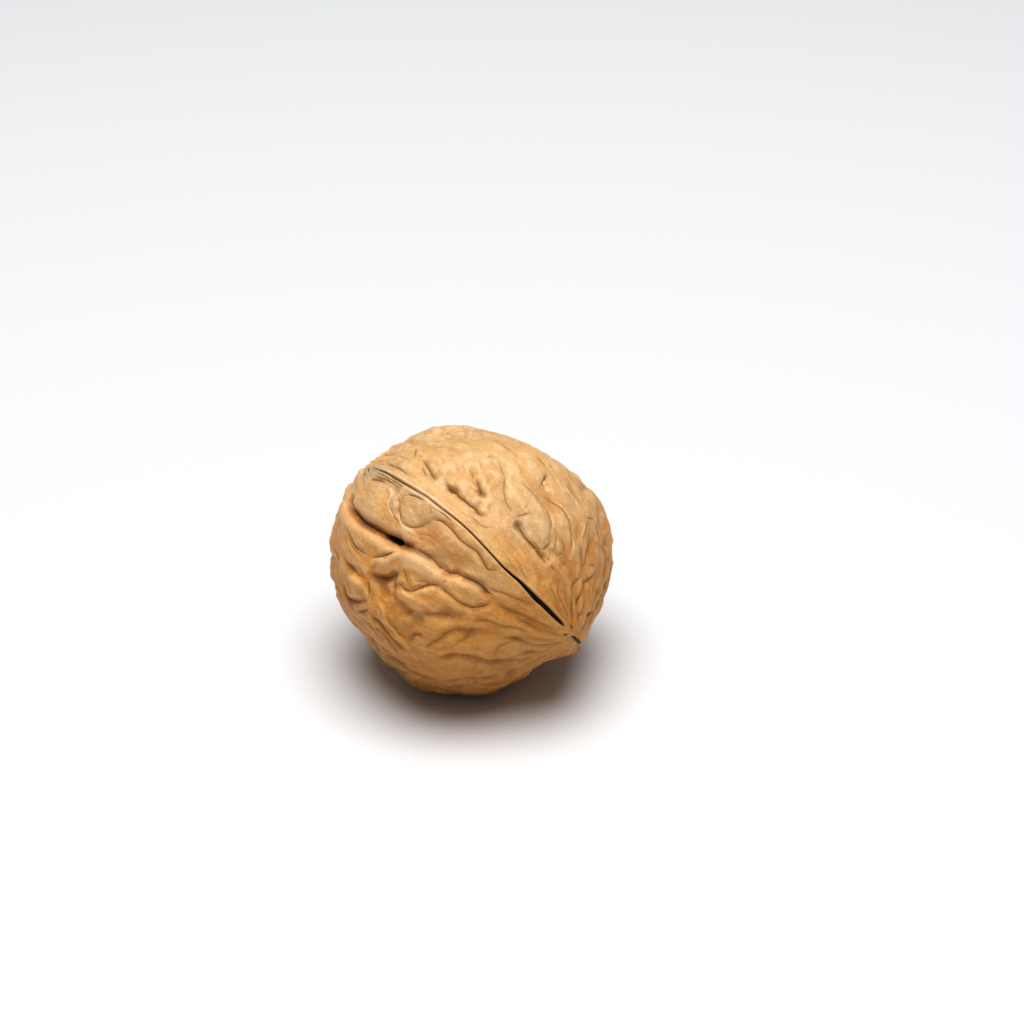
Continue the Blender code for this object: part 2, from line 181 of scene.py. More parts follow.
# The front seam from stem to tip
FRONT_SEAM = [
    (-14.6, 12.4), (-12.8, 11.6), (-11.1, 10.7), (-9.05, 9.5), (-7.1, 8.4), (-5.4, 7.2), (-4.0, 6.0),
    (-2.46, 4.85), (-0.97, 3.55), (0.7, 1.8), (2.2, 0.2), (3.6, -1.3), (5.15, -2.7), (6.7, -4.1),
    (8.0, -5.5), (9.7, -7.15), (10.94, -8.36), (11.87, -9.3), (12.8, -10.3),
]
SEAM_BAND_HEIGHT = [0.3, 0.7, 0.9, 0.9, 1.0, 1.1, 1.1, 0.9, 0.3]
SEAM_BAND_SPREAD = 2.1

# The back seam: its band and crack, how dark the painted shade in the crack is and how far it
# stands in from its edges, how the seam sways, and how far from both ends it starts
BACK_BAND_HEIGHT = 1.0
BACK_CRACK_DEPTH = 0.6
BACK_CRACK_WIDTH = 0.22
BACK_CRACK_TONE = 0.8
BACK_CRACK_INSET = 0.12
BACK_SEAM_SWAY = math.radians(3)
BACK_SEAM_BENDS = 4.0
BACK_SEAM_START = 0.6
SEAM_END = 0.45

# Slits: depth, darkness, which in the crack and the hole is painted shade, how high their edges lie, then
# points with the half width at each
SLITS = [
    (0.4, 0.5, 0.0, [(-13.9, 12.1, 0.08), (-12.0, 11.25, 0.12), (-9.05, 9.5, 0.12), (-7.5, 8.6, 0.09),
     (-6.2, 7.8, 0.07), (-4.0, 6.0, 0.06), (-1.7, 4.2, 0.05)]),
    (0.6, 0.8, 0.0, [(-7.1, 8.4, 0.02), (-4.8, 6.6, 0.04), (-3.2, 5.46, 0.06), (-0.97, 3.55, 0.08),
     (1.46, 1.0, 0.09), (3.6, -1.3, 0.1), (5.15, -2.7, 0.1)]),
    (1.2, 1.0, 0.0, [(2.2, 0.2, 0.06), (3.6, -1.3, 0.09), (5.15, -2.7, 0.12), (6.0, -3.4, 0.15),
     (6.7, -4.1, 0.19), (7.4, -4.86, 0.23), (8.0, -5.5, 0.26), (8.5, -6.0, 0.27), (9.07, -6.5, 0.26),
     (10.3, -7.7, 0.24), (11.5, -8.9, 0.17), (11.9, -9.35, 0.04)]),
    (1.4, 1.0, -2.2, [(-11.9, 2.75, 0.02), (-11.2, 2.4, 0.28), (-10.5, 2.05, 0.4), (-9.9, 1.6, 0.28),
     (-9.5, 1.3, 0.02)]),
    (0.3, 0.9, 0.0, [(11.8, -10.5, 0.02), (12.2, -10.55, 0.13), (12.6, -10.5, 0.02)]),
    (0.5, 1.0, 0.0, [(13.2, -10.9, 0.05), (13.55, -11.2, 0.22), (13.8, -11.5, 0.1)]),
    (0.3, 0.8, 0.0, [(12.9, -9.2, 0.02), (13.04, -9.6, 0.1), (13.1, -10.0, 0.02)]),
    (0.15, 0.7, 0.0, [(-10.0, 7.78, 0.02), (-9.88, 7.88, 0.09), (-9.76, 8.0, 0.02)]),
    (0.15, 0.7, 0.0, [(-9.72, 8.15, 0.02), (-9.62, 8.24, 0.08), (-9.4, 8.25, 0.02)]),
    (0.15, 0.7, 0.0, [(-14.75, 12.05, 0.02), (-14.6, 11.8, 0.12), (-14.62, 11.5, 0.02)]),
    (0.15, 0.7, 0.0, [(-15.35, 11.5, 0.02), (-15.15, 11.1, 0.1), (-15.2, 10.8, 0.02)]),
    (0.12, 0.6, 0.0, [(-13.5, 12.6, 0.02), (-13.0, 12.65, 0.07), (-12.5, 12.5, 0.02)]),
]
SLIT_BANK = 0.1
SLIT_TAPER = 0.1
SLIT_REACH = 1.5

# Creases on the front face: depth, half width, lip, darkness, route. The darkness sets the crease's
# dark line, which is partly painted shade, and the painted shade beside it. The lip is the rise of one
# bank, the left bank as the crease runs when it is positive and the right bank when it is negative.
CREASES = [
    # beside the crack
    (0.07, 0.35, 0.0, 0.5, [(-5.7, 6.6), (-4.9, 6.0), (-4.1, 5.5), (-3.7, 5.0), (-3.0, 4.6)]),
    (0.15, 0.5, 0.0, 0.55, [(-13.6, 12.9), (-12.1, 12.6), (-11.2, 12.2), (-10.2, 11.7), (-9.0, 10.95),
     (-8.1, 10.6)]),
    (0.07, 0.3, 0.0, 0.6, [(-14.2, 11.9), (-13.0, 11.2), (-12.0, 10.7), (-11.0, 10.2), (-10.0, 9.5),
     (-9.0, 8.9)]),
    (0.07, 0.3, 0.0, 0.5, [(-14.4, 11.4), (-13.3, 10.8), (-12.3, 10.4), (-11.4, 10.0), (-10.8, 9.6)]),
    (0.25, 0.6, 0.0, 0.65, [(-14.7, 10.6), (-14.2, 10.4), (-13.6, 10.3), (-12.9, 10.2), (-12.4, 9.95),
     (-11.9, 9.6)]),
    (0.15, 0.5, 0.0, 0.65, [(-9.65, 8.23), (-9.1, 8.23), (-8.4, 8.17), (-7.7, 7.9), (-7.03, 7.54),
     (-6.4, 7.0)]),
    (0.08, 0.4, 0.0, 0.45, [(-1.5, 5.4), (-0.9, 5.3), (0.0, 4.8), (0.7, 4.2), (1.3, 3.9), (2.2, 3.87),
     (2.9, 3.8)]),
    (0.08, 0.4, 0.0, 0.45, [(5.15, 0.5), (5.8, -0.84), (6.45, -2.3), (7.0, -3.1), (7.5, -3.55)]),
    (0.08, 0.4, 0.0, 0.45, [(10.1, -5.75), (10.75, -6.7), (11.4, -7.7), (12.06, -8.7)]),
    (0.06, 0.35, 0.0, 0.35, [(3.4, 1.3), (4.3, -0.3), (5.2, -1.5), (6.2, -2.9)]),
    # the plates under the band
    (0.12, 0.45, 0.0, 0.5, [(-11.38, 9.13), (-11.24, 8.5), (-11.45, 7.47), (-11.52, 6.78), (-11.24, 6.09),
     (-10.96, 5.4), (-10.7, 4.85), (-10.13, 4.23), (-9.65, 3.95)]),
    (0.08, 0.3, 0.0, 0.4, [(-10.55, 8.1), (-10.36, 7.5), (-10.36, 6.8), (-10.6, 6.15)]),
    (0.22, 0.5, 0.0, 0.55, [(-9.93, 7.75), (-10.2, 7.13), (-10.27, 6.44), (-10.2, 5.75), (-10.07, 5.06),
     (-9.79, 4.5), (-9.3, 4.09), (-8.75, 3.88), (-8.06, 3.88), (-7.37, 4.09), (-6.68, 4.44), (-6.0, 4.78),
     (-5.3, 4.85)]),
    (0.04, 0.35, 0.0, 0.35, [(-6.13, 6.8), (-6.1, 6.1), (-6.0, 5.5)]),
    (0.28, 0.65, 0.0, 0.65, [(-6.9, 4.4), (-5.97, 4.82), (-5.3, 4.86), (-4.54, 4.67), (-3.78, 4.06),
     (-3.02, 3.3), (-2.17, 2.25), (-1.31, 1.59), (-0.27, 0.92), (0.3, 0.45), (0.68, -0.22), (1.16, -0.98),
     (1.54, -1.64), (2.1, -1.83), (2.87, -1.83), (3.63, -1.55)]),
    (0.05, 0.4, 0.0, 0.3, [(-8.5, 2.9), (-7.6, 2.95), (-6.7, 2.9), (-6.05, 2.6), (-5.4, 2.1)]),
    # the big furrow, which is steep on the left and a soft valley with a thin line on the right
    (1.35, 1.15, -0.3, 1.0, [(-16.3, 8.8), (-16.4, 7.2), (-15.96, 5.9), (-15.4, 5.2), (-14.6, 4.4),
     (-13.06, 3.45), (-11.66, 2.6), (-10.7, 2.1), (-9.6, 1.5), (-8.6, 1.1), (-7.6, 0.6)]),
    (0.5, 0.9, -0.2, 0.75, [(-13.06, 3.45), (-11.66, 2.6), (-10.7, 2.1), (-9.6, 1.5), (-8.1, 0.93),
     (-7.1, 0.37), (-5.9, -0.4), (-4.9, -1.4), (-4.0, -2.06), (-3.5, -2.4), (-2.5, -2.43), (-1.25, -3.04),
     (-0.3, -3.4), (0.8, -4.0), (1.3, -4.6), (1.9, -5.1), (2.95, -5.8)]),
    # the left end
    (0.35, 0.6, 0.0, 0.75, [(-14.7, -0.2), (-13.9, -0.15), (-12.8, -0.05), (-11.8, 0.2), (-10.9, 0.54),
     (-10.0, 0.85)]),
    (0.8, 1.0, 0.3, 0.5, [(-14.6, -1.7), (-14.2, -2.3), (-13.3, -2.8), (-12.4, -2.95), (-11.7, -2.9),
     (-11.1, -2.4), (-10.8, -1.6)]),
    (0.45, 0.7, 0.1, 0.7, [(-17.2, 4.6), (-16.9, 3.2), (-16.4, 1.8), (-15.7, 0.9), (-14.87, 0.28),
     (-14.35, -0.24)]),
    (0.6, 0.9, 0.0, 0.6, [(-18.1, 0.6), (-17.3, -0.9), (-16.3, -1.96), (-15.56, -2.65), (-14.8, -3.0)]),
    (0.55, 0.8, 0.15, 0.7, [(-18.4, -3.0), (-17.6, -4.3), (-17.0, -5.3), (-16.4, -5.9), (-15.4, -6.1),
     (-14.6, -5.9)]),
    (0.3, 0.5, 0.0, 0.6, [(-14.9, -2.8), (-14.6, -3.8), (-14.5, -4.8), (-14.2, -5.8)]),
    (0.3, 0.6, 0.0, 0.65, [(-16.2, -7.05), (-15.6, -7.4), (-14.87, -7.3), (-14.2, -6.9)]),
    (0.3, 0.5, 0.0, 0.6, [(-11.2, -2.9), (-11.2, -3.6), (-11.07, -4.4), (-10.8, -5.3), (-10.4, -6.0)]),
    (0.12, 0.4, 0.0, 0.6, [(-19.4, 1.7), (-18.9, 0.7), (-18.6, -0.2), (-18.5, -1.4)]),
    (0.1, 0.4, 0.0, 0.5, [(-18.4, -3.2), (-17.95, -3.9), (-17.8, -4.8), (-17.6, -5.6)]),
    (0.08, 0.4, 0.0, 0.35, [(-17.9, 3.9), (-17.6, 2.4), (-17.2, 1.2), (-16.6, 0.1), (-16.0, -0.6)]),
    # the lower middle
    (0.25, 0.65, -0.15, 0.65, [(-11.2, -3.6), (-10.22, -4.04), (-9.27, -4.61), (-8.51, -4.71),
     (-7.37, -4.28), (-6.14, -3.86), (-4.83, -4.02), (-4.16, -4.68), (-3.12, -5.54), (-2.17, -6.3),
     (-1.22, -6.77), (-0.27, -6.91), (0.8, -6.8), (1.7, -6.6), (2.6, -6.1)]),
    (0.12, 0.4, 0.0, 0.5, [(-10.3, -1.96), (-9.7, -2.0), (-9.5, -2.7), (-9.2, -3.5), (-8.8, -4.3)]),
    (0.06, 0.35, 0.0, 0.4, [(-8.07, -3.36), (-7.5, -3.46), (-6.7, -3.3), (-6.0, -3.1)]),
    (0.06, 0.35, 0.0, 0.4, [(-5.4, -1.4), (-5.0, -1.7), (-4.3, -1.87)]),
    (0.06, 0.35, 0.0, 0.4, [(-4.6, -3.9), (-4.2, -3.4), (-3.6, -3.0)]),
    (0.18, 0.5, 0.0, 0.5, [(1.1, -3.9), (1.9, -4.3), (2.7, -4.7), (3.9, -5.0), (5.3, -5.6), (6.1, -5.9),
     (7.2, -6.35), (8.5, -6.4)]),
    # the lower left
    (0.45, 1.0, 0.0, 0.4, [(-7.8, -7.8), (-6.6, -7.9), (-5.3, -7.85), (-4.3, -7.9), (-3.2, -8.3),
     (-0.8, -8.9)]),
    (0.3, 0.7, 0.0, 0.5, [(-15.9, -7.6), (-14.9, -8.6), (-13.4, -9.7), (-12.0, -10.9), (-10.6, -12.5),
     (-9.0, -14.2)]),
    (0.35, 0.6, 0.0, 0.6, [(-14.5, -7.2), (-13.8, -8.2), (-13.0, -8.8), (-12.2, -9.8), (-11.4, -10.7),
     (-10.2, -11.9), (-8.6, -13.2)]),
    (0.2, 0.5, 0.0, 0.5, [(-12.3, -8.0), (-11.7, -8.8), (-10.9, -9.7), (-10.0, -10.8), (-8.6, -12.2)]),
    (0.15, 0.4, 0.0, 0.5, [(-13.6, -9.5), (-13.4, -10.3), (-12.7, -11.0), (-12.2, -11.6)]),
    (0.5, 0.9, 0.0, 0.7, [(-13.9, -11.4), (-13.06, -12.75), (-12.0, -13.7), (-11.0, -14.0),
     (-10.0, -14.5), (-8.95, -15.2), (-7.0, -16.0), (-4.5, -17.2)]),
    (0.2, 0.4, 0.0, 0.7, [(-8.8, -11.3), (-8.5, -10.8), (-8.0, -10.6), (-7.5, -10.8), (-7.3, -11.2)]),
    (0.3, 0.8, 0.1, 0.5, [(-7.1, -12.4), (-6.4, -12.0), (-5.7, -11.5), (-5.1, -11.2), (-4.3, -10.6),
     (-3.0, -9.9), (0.0, -10.1), (3.0, -11.0)]),
    # the hidden lower right, guessed
    (0.22, 0.6, 0.0, 0.5, [(2.6, -6.5), (4.4, -7.3), (6.7, -8.0), (9.0, -9.1), (11.6, -10.2)]),
    (0.3, 0.7, 0.1, 0.5, [(3.0, -11.0), (5.5, -11.1), (7.8, -11.9), (10.2, -11.7), (12.2, -11.3)]),
    (0.2, 0.5, 0.0, 0.5, [(-0.8, -8.9), (1.2, -8.6), (3.4, -9.3), (5.6, -9.6), (8.3, -10.6)]),
    (0.35, 0.8, 0.0, 0.5, [(-5.5, -13.8), (-3.0, -13.1), (-0.6, -13.5), (2.2, -14.2), (5.3, -13.9),
     (8.6, -13.2)]),
    (0.25, 0.8, 0.1, 0.4, [(-3.4, -12.9), (-2.6, -11.7), (-1.4, -11.2), (-0.8, -10.4), (0.6, -10.1)]),
    (0.2, 0.6, 0.0, 0.4, [(1.2, -13.9), (2.6, -13.2), (2.9, -12.2), (4.3, -11.6), (5.2, -11.9)]),
    (0.25, 0.7, 0.0, 0.4, [(6.0, -13.6), (7.0, -12.9), (8.6, -12.8), (10.0, -12.2), (11.6, -12.0)]),
    (0.3, 0.8, 0.0, 0.5, [(-4.5, -17.2), (-2.0, -16.4), (1.0, -16.3), (3.8, -16.0)]),
    (0.08, 0.4, 0.0, 0.45, [(4.8, -7.5), (6.0, -8.6), (7.6, -9.4), (9.6, -10.4)]),
    # the upper area
    (0.15, 0.45, 0.0, 0.5, [(-8.5, 13.4), (-8.25, 14.0), (-8.16, 14.5), (-8.0, 14.9)]),
    (0.28, 0.6, 0.0, 0.65, [(-7.46, 13.3), (-7.13, 12.84), (-6.76, 12.4), (-6.2, 11.5), (-6.0, 11.0),
     (-5.6, 10.7), (-5.0, 10.5)]),
    (0.07, 0.35, 0.0, 0.45, [(-7.5, 12.56), (-7.2, 11.9), (-6.95, 11.25), (-6.6, 10.9)]),
    (0.4, 0.65, 0.0, 0.8, [(-4.1, 10.3), (-3.9, 9.9), (-3.7, 9.5), (-3.4, 9.0), (-2.65, 8.6),
     (-2.46, 8.3), (-2.1, 7.9), (-1.6, 7.5), (-1.06, 7.05), (-0.6, 6.67), (0.0, 6.3), (0.34, 5.8),
     (0.8, 5.55), (1.36, 5.5), (1.74, 5.65)]),
    (0.32, 0.6, 0.0, 0.7, [(-0.3, 12.0), (0.1, 10.3), (0.24, 9.9), (0.5, 9.3), (0.7, 8.7), (0.95, 8.4),
     (2.1, 8.36)]),
    (0.08, 0.35, 0.0, 0.45, [(-0.36, 9.1), (-0.04, 8.8), (0.15, 8.7), (0.5, 8.6)]),
    (0.1, 0.4, 0.0, 0.45, [(1.2, 13.5), (1.74, 13.4), (2.1, 13.5), (2.5, 13.8)]),
    (0.15, 0.55, 0.0, 0.45, [(3.14, 13.8), (3.2, 13.0), (3.4, 12.3), (3.6, 11.5), (3.9, 10.9), (3.8, 9.2),
     (3.9, 8.3), (4.07, 7.5), (4.35, 6.95), (4.7, 6.5), (4.95, 6.1), (5.2, 5.5)]),
    (0.14, 0.55, 0.0, 0.4, [(5.9, 10.2), (6.42, 9.84), (7.09, 9.37), (7.75, 8.7), (8.61, 7.94),
     (9.37, 6.8), (9.84, 6.04), (10.22, 5.19), (10.32, 4.24), (10.1, 3.0), (9.9, 1.8)]),
    (0.07, 0.4, 0.0, 0.3, [(-8.0, 14.75), (-6.9, 14.95), (-5.4, 14.85), (-4.0, 14.9), (-2.7, 14.4),
     (-2.0, 13.7), (-1.85, 12.9)]),
    (0.07, 0.4, 0.0, 0.35, [(-6.0, 15.6), (-5.1, 15.75), (-4.2, 15.7), (-3.6, 15.5)]),
    (0.05, 0.35, 0.0, 0.3, [(-4.2, 13.9), (-3.3, 13.6), (-2.5, 13.2)]),
    (0.1, 0.4, 0.0, 0.45, [(-0.2, 11.9), (-0.45, 11.4), (-0.4, 10.8), (-0.1, 10.3)]),
    (0.05, 0.35, 0.0, 0.3, [(-11.2, 13.9), (-10.3, 13.6), (-9.4, 13.2), (-8.6, 12.5)]),
    (0.28, 0.6, 0.0, 0.7, [(9.86, 12.1), (9.86, 11.4), (9.7, 11.06), (9.63, 10.8), (9.35, 10.5),
     (9.16, 10.1), (9.44, 9.66), (9.84, 9.18), (10.1, 8.3)]),
    (0.14, 0.55, 0.0, 0.5, [(9.6, 9.5), (10.13, 8.23), (10.51, 7.56), (11.36, 6.99), (12.12, 6.23),
     (12.5, 5.38), (12.79, 4.62), (12.95, 3.4), (13.0, 2.2), (12.9, 1.0), (12.6, -0.2)]),
    (0.07, 0.35, 0.0, 0.35, [(14.4, 5.6), (14.2, 4.6), (14.05, 3.4), (13.95, 2.3), (13.9, 1.0)]),
    (0.06, 0.35, 0.0, 0.35, [(12.2, 10.6), (13.0, 9.7), (13.9, 8.6), (14.7, 7.4), (15.2, 6.2)]),
    (0.25, 0.5, 0.0, 0.5, [(10.0, 12.46), (10.5, 12.1), (10.9, 11.7)]),
    (0.08, 0.4, 0.0, 0.45, [(8.3, 13.8), (8.8, 13.3), (9.35, 12.7), (9.8, 12.1)]),
    # the right side
    (0.1, 0.4, 0.0, 0.55, [(5.24, 5.2), (5.7, 5.4), (6.2, 5.55), (6.7, 5.65), (7.2, 5.8), (8.3, 5.8)]),
    (0.4, 0.65, 0.0, 0.75, [(5.7, 5.3), (5.66, 4.7), (5.9, 4.2), (6.1, 3.6), (6.36, 3.1), (6.6, 2.6),
     (7.0, 2.1), (7.4, 1.7), (7.9, 1.2), (8.2, 0.9), (8.5, 0.4), (8.9, -0.1), (9.3, -0.7), (9.5, -1.1),
     (9.9, -1.8)]),
    (0.1, 0.35, 0.0, 0.65, [(8.2, 0.9), (8.8, 0.93), (9.35, 1.0), (9.6, 1.3), (9.9, 1.8), (9.9, 2.6),
     (10.1, 3.3)]),
    (0.06, 0.3, 0.0, 0.5, [(10.0, -0.94), (10.4, -1.6), (10.6, -2.06)]),
    (0.07, 0.35, 0.0, 0.55, [(9.9, 1.3), (10.3, 0.84), (10.75, 0.4), (11.0, 0.1), (11.4, 0.3),
     (12.06, 0.3), (12.3, 0.46)]),
    (0.06, 0.3, 0.0, 0.5, [(11.4, 3.0), (11.7, 2.3), (12.0, 1.6), (12.15, 0.9), (12.3, 0.46)]),
    (0.05, 0.3, 0.0, 0.5, [(11.2, 3.1), (10.9, 2.3), (10.75, 1.4), (10.8, 0.46)]),
    (0.06, 0.3, 0.0, 0.5, [(10.0, 0.1), (9.86, -0.4), (9.8, -0.75)]),
    (0.06, 0.3, 0.0, 0.5, [(11.1, 0.0), (11.4, -0.4), (11.7, -0.84), (12.0, -1.1), (12.5, -0.75),
     (12.7, -0.3)]),
    (0.07, 0.4, 0.0, 0.35, [(10.66, -2.3), (10.9, -3.1), (11.1, -3.9), (11.1, -5.0), (11.4, -5.9),
     (11.9, -6.9), (12.3, -7.8), (12.6, -8.5), (12.9, -9.2)]),
    (0.2, 0.5, 0.0, 0.6, [(13.9, 2.3), (14.0, 1.4), (14.2, 0.46), (14.3, -0.5), (14.2, -1.4),
     (14.0, -2.3), (13.7, -3.1), (13.4, -3.7), (13.0, -4.2), (12.8, -5.6), (12.8, -6.9), (12.9, -7.8),
     (13.0, -8.7), (13.04, -9.5)]),
    (0.15, 0.5, 0.0, 0.55, [(15.8, 3.4), (15.73, 2.3), (15.54, 1.35), (15.07, 0.4), (14.9, -0.4),
     (14.8, -1.0), (14.5, -1.6), (14.0, -2.9)]),
    (0.08, 0.35, 0.0, 0.5, [(15.1, -1.2), (15.6, -1.2), (16.1, -1.3)]),
    (0.3, 0.6, 0.0, 0.7, [(16.1, -1.4), (16.0, -2.0), (15.6, -2.5), (15.1, -3.1), (14.6, -3.7),
     (14.2, -4.4), (13.9, -5.1), (13.6, -6.1), (13.5, -7.4), (13.2, -9.0)]),
    (0.22, 0.45, 0.0, 0.6, [(15.05, -5.0), (14.9, -5.9), (14.5, -6.9), (14.1, -7.5), (13.7, -8.1),
     (13.5, -8.7), (13.2, -9.2)]),
    (0.3, 0.5, 0.0, 0.7, [(16.4, -6.2), (15.9, -7.05), (15.4, -7.7), (14.95, -8.0), (14.7, -8.9),
     (14.2, -9.7), (13.9, -9.95)]),
    (0.08, 0.35, 0.0, 0.55, [(14.9, 5.35), (15.16, 5.28), (15.63, 5.19), (16.1, 5.2), (16.5, 5.28)]),
    (0.1, 0.4, 0.0, 0.5, [(15.3, 5.2), (15.26, 4.6), (15.16, 3.76), (14.85, 2.8), (14.6, 1.7)]),
    (0.1, 0.4, 0.0, 0.5, [(16.2, 5.2), (16.6, 4.3), (16.75, 3.0), (16.6, 1.6), (16.3, 0.4)]),
    (0.05, 0.3, 0.0, 0.3, [(9.9, -3.0), (10.2, -4.4), (10.7, -5.7), (11.5, -7.2), (12.3, -8.6)]),
    (0.05, 0.3, 0.0, 0.3, [(11.9, -2.6), (12.0, -4.2), (12.2, -5.8), (12.5, -7.3), (12.8, -8.8)]),
]

# Soft valleys: depth, half width, route
VALLEYS = [
    (0.5, 1.1, [(-13.6, -3.4), (-12.6, -4.0), (-11.9, -5.0), (-11.6, -6.0)]),
    (0.35, 0.9, [(-10.3, -5.6), (-9.8, -6.6), (-9.3, -7.6), (-8.9, -8.4)]),
    (0.5, 1.9, [(-9.6, 3.0), (-7.2, 1.8), (-5.2, 0.6), (-3.4, -0.7), (-1.4, -1.9), (0.6, -3.0)]),
    (0.25, 0.8, [(8.2, 10.6), (8.9, 9.2), (9.8, 7.7), (10.5, 6.4), (11.0, 5.0), (11.1, 3.6)]),
    (0.2, 0.8, [(2.3, 12.9), (2.9, 11.8), (3.4, 10.4), (3.3, 9.0), (3.4, 7.6)]),
    (0.25, 0.8, [(13.2, 7.6), (13.6, 6.0), (13.7, 4.4), (13.6, 2.6), (13.3, 0.8)]),
    (0.25, 0.7, [(-7.9, 12.2), (-6.6, 10.8), (-5.4, 9.9)]),
    (0.3, 0.8, [(-4.3, 11.4), (-3.0, 10.6), (-2.0, 11.4), (-1.2, 12.9)]),
    (0.5, 1.0, [(-15.8, -3.8), (-15.1, -5.4), (-14.4, -6.8)]),
    (0.35, 0.8, [(-12.4, 10.6), (-11.4, 9.8), (-10.6, 9.0), (-10.0, 8.4)]),
    (0.4, 1.1, [(-9.6, -6.6), (-8.2, -8.3), (-6.4, -8.6)]),
    (0.3, 1.2, [(-5.2, -6.4), (-3.0, -7.4), (-0.6, -7.8)]),
    (0.3, 1.1, [(-10.6, -8.8), (-9.4, -10.2), (-8.6, -12.0)]),
]

# Pale ridges: rise, half width, route
RIDGES = [
    (0.16, 0.3, [(-12.0, 9.7), (-11.8, 9.27), (-11.5, 8.6), (-11.65, 7.75), (-11.75, 7.06), (-11.5, 6.2),
     (-11.15, 5.5), (-10.9, 4.9)]),
    (0.15, 0.25, [(-10.62, 6.0), (-10.42, 5.4), (-10.15, 4.75), (-9.8, 4.1), (-9.1, 3.62), (-8.3, 3.5)]),
    (0.12, 0.2, [(-12.6, 11.1), (-12.2, 10.85), (-11.6, 10.5), (-10.9, 10.1), (-10.2, 9.6)]),
    (0.1, 0.18, [(-14.0, 12.45), (-12.8, 12.0), (-11.1, 11.15), (-9.05, 9.95), (-7.1, 8.85), (-5.4, 7.65),
     (-4.0, 6.5), (-2.6, 5.3), (-1.0, 4.0)]),
    (0.08, 0.18, [(-10.4, 9.75), (-9.2, 9.1), (-7.3, 7.95), (-5.6, 6.8), (-4.2, 5.6)]),
    (0.35, 0.4, [(-14.95, -1.4), (-14.35, -0.8), (-13.66, -0.5), (-13.06, -0.5), (-12.45, -0.72),
     (-11.76, -0.36), (-11.2, -0.1), (-10.2, 0.3), (-9.3, 0.4)]),
    (0.2, 0.3, [(-17.5, 5.1), (-17.2, 3.7), (-16.7, 2.2), (-16.1, 0.9), (-15.3, 0.25), (-14.75, -0.2)]),
    (0.3, 0.4, [(-18.0, -2.9), (-16.9, -3.0), (-15.9, -3.86), (-15.2, -5.0), (-14.8, -5.7)]),
    (0.2, 0.25, [(-19.2, -3.0), (-18.9, -4.2), (-18.5, -5.4), (-18.0, -6.4)]),
    (0.15, 0.25, [(-8.8, -5.3), (-8.3, -4.95), (-7.6, -4.75), (-6.86, -4.5), (-5.9, -4.4), (-5.0, -4.6)]),
    (0.28, 0.22, [(-10.3, -4.5), (-9.84, -4.75), (-8.9, -5.47), (-8.2, -5.8), (-7.37, -6.23),
     (-6.5, -6.85), (-5.67, -7.56)]),
    (0.14, 0.22, [(-9.2, -2.6), (-8.7, -3.1), (-8.04, -3.6), (-7.2, -3.75), (-6.3, -3.4)]),
    (0.08, 0.18, [(-3.4, -3.3), (-2.4, -3.15), (-1.7, -3.0)]),
    (0.3, 0.35, [(-14.5, -6.4), (-13.5, -6.45), (-12.9, -7.0), (-12.6, -7.7), (-12.4, -8.6),
     (-11.8, -9.4), (-11.2, -10.2), (-10.4, -11.2), (-9.3, -12.4), (-8.4, -13.4)]),
    (0.2, 0.25, [(-13.4, -7.1), (-13.1, -7.8), (-12.8, -8.5), (-12.1, -9.5)]),
    (0.25, 0.3, [(-15.2, -7.6), (-14.5, -8.3), (-14.2, -9.1), (-13.7, -10.2), (-12.8, -11.4)]),
    (0.15, 0.3, [(-8.7, -13.1), (-8.2, -13.7), (-7.8, -14.2)]),
    (0.15, 0.28, [(12.5, 9.84), (12.98, 9.27), (13.55, 8.51), (14.12, 7.75), (14.5, 6.99),
     (14.97, 6.23)]),
    (0.1, 0.22, [(9.46, 7.3), (9.95, 6.42), (10.4, 5.66), (10.7, 4.71), (10.6, 3.29)]),
    (0.1, 0.22, [(10.7, 7.9), (11.55, 7.25), (12.3, 6.6), (12.8, 5.66), (13.1, 4.6)]),
    (0.1, 0.2, [(15.1, 4.6), (14.9, 3.6), (14.6, 2.6), (14.3, 1.4)]),
    (0.08, 0.2, [(13.3, 3.2), (13.35, 1.8), (13.2, 0.4), (12.9, -1.0)]),
    (0.1, 0.22, [(9.6, 11.2), (9.5, 10.2), (9.9, 9.5), (10.4, 8.9)]),
    (0.12, 1.0, [(-10.6, 0.0), (-8.8, -0.9), (-7.0, -1.6), (-5.6, -2.2), (-4.2, -3.0)]),
    (0.12, 0.2, [(6.9, -3.6), (7.6, -4.2), (8.2, -4.8), (8.9, -5.5)]),
    (0.08, 0.2, [(0.2, -3.35), (1.2, -4.1), (2.2, -5.0), (3.2, -5.5)]),
]

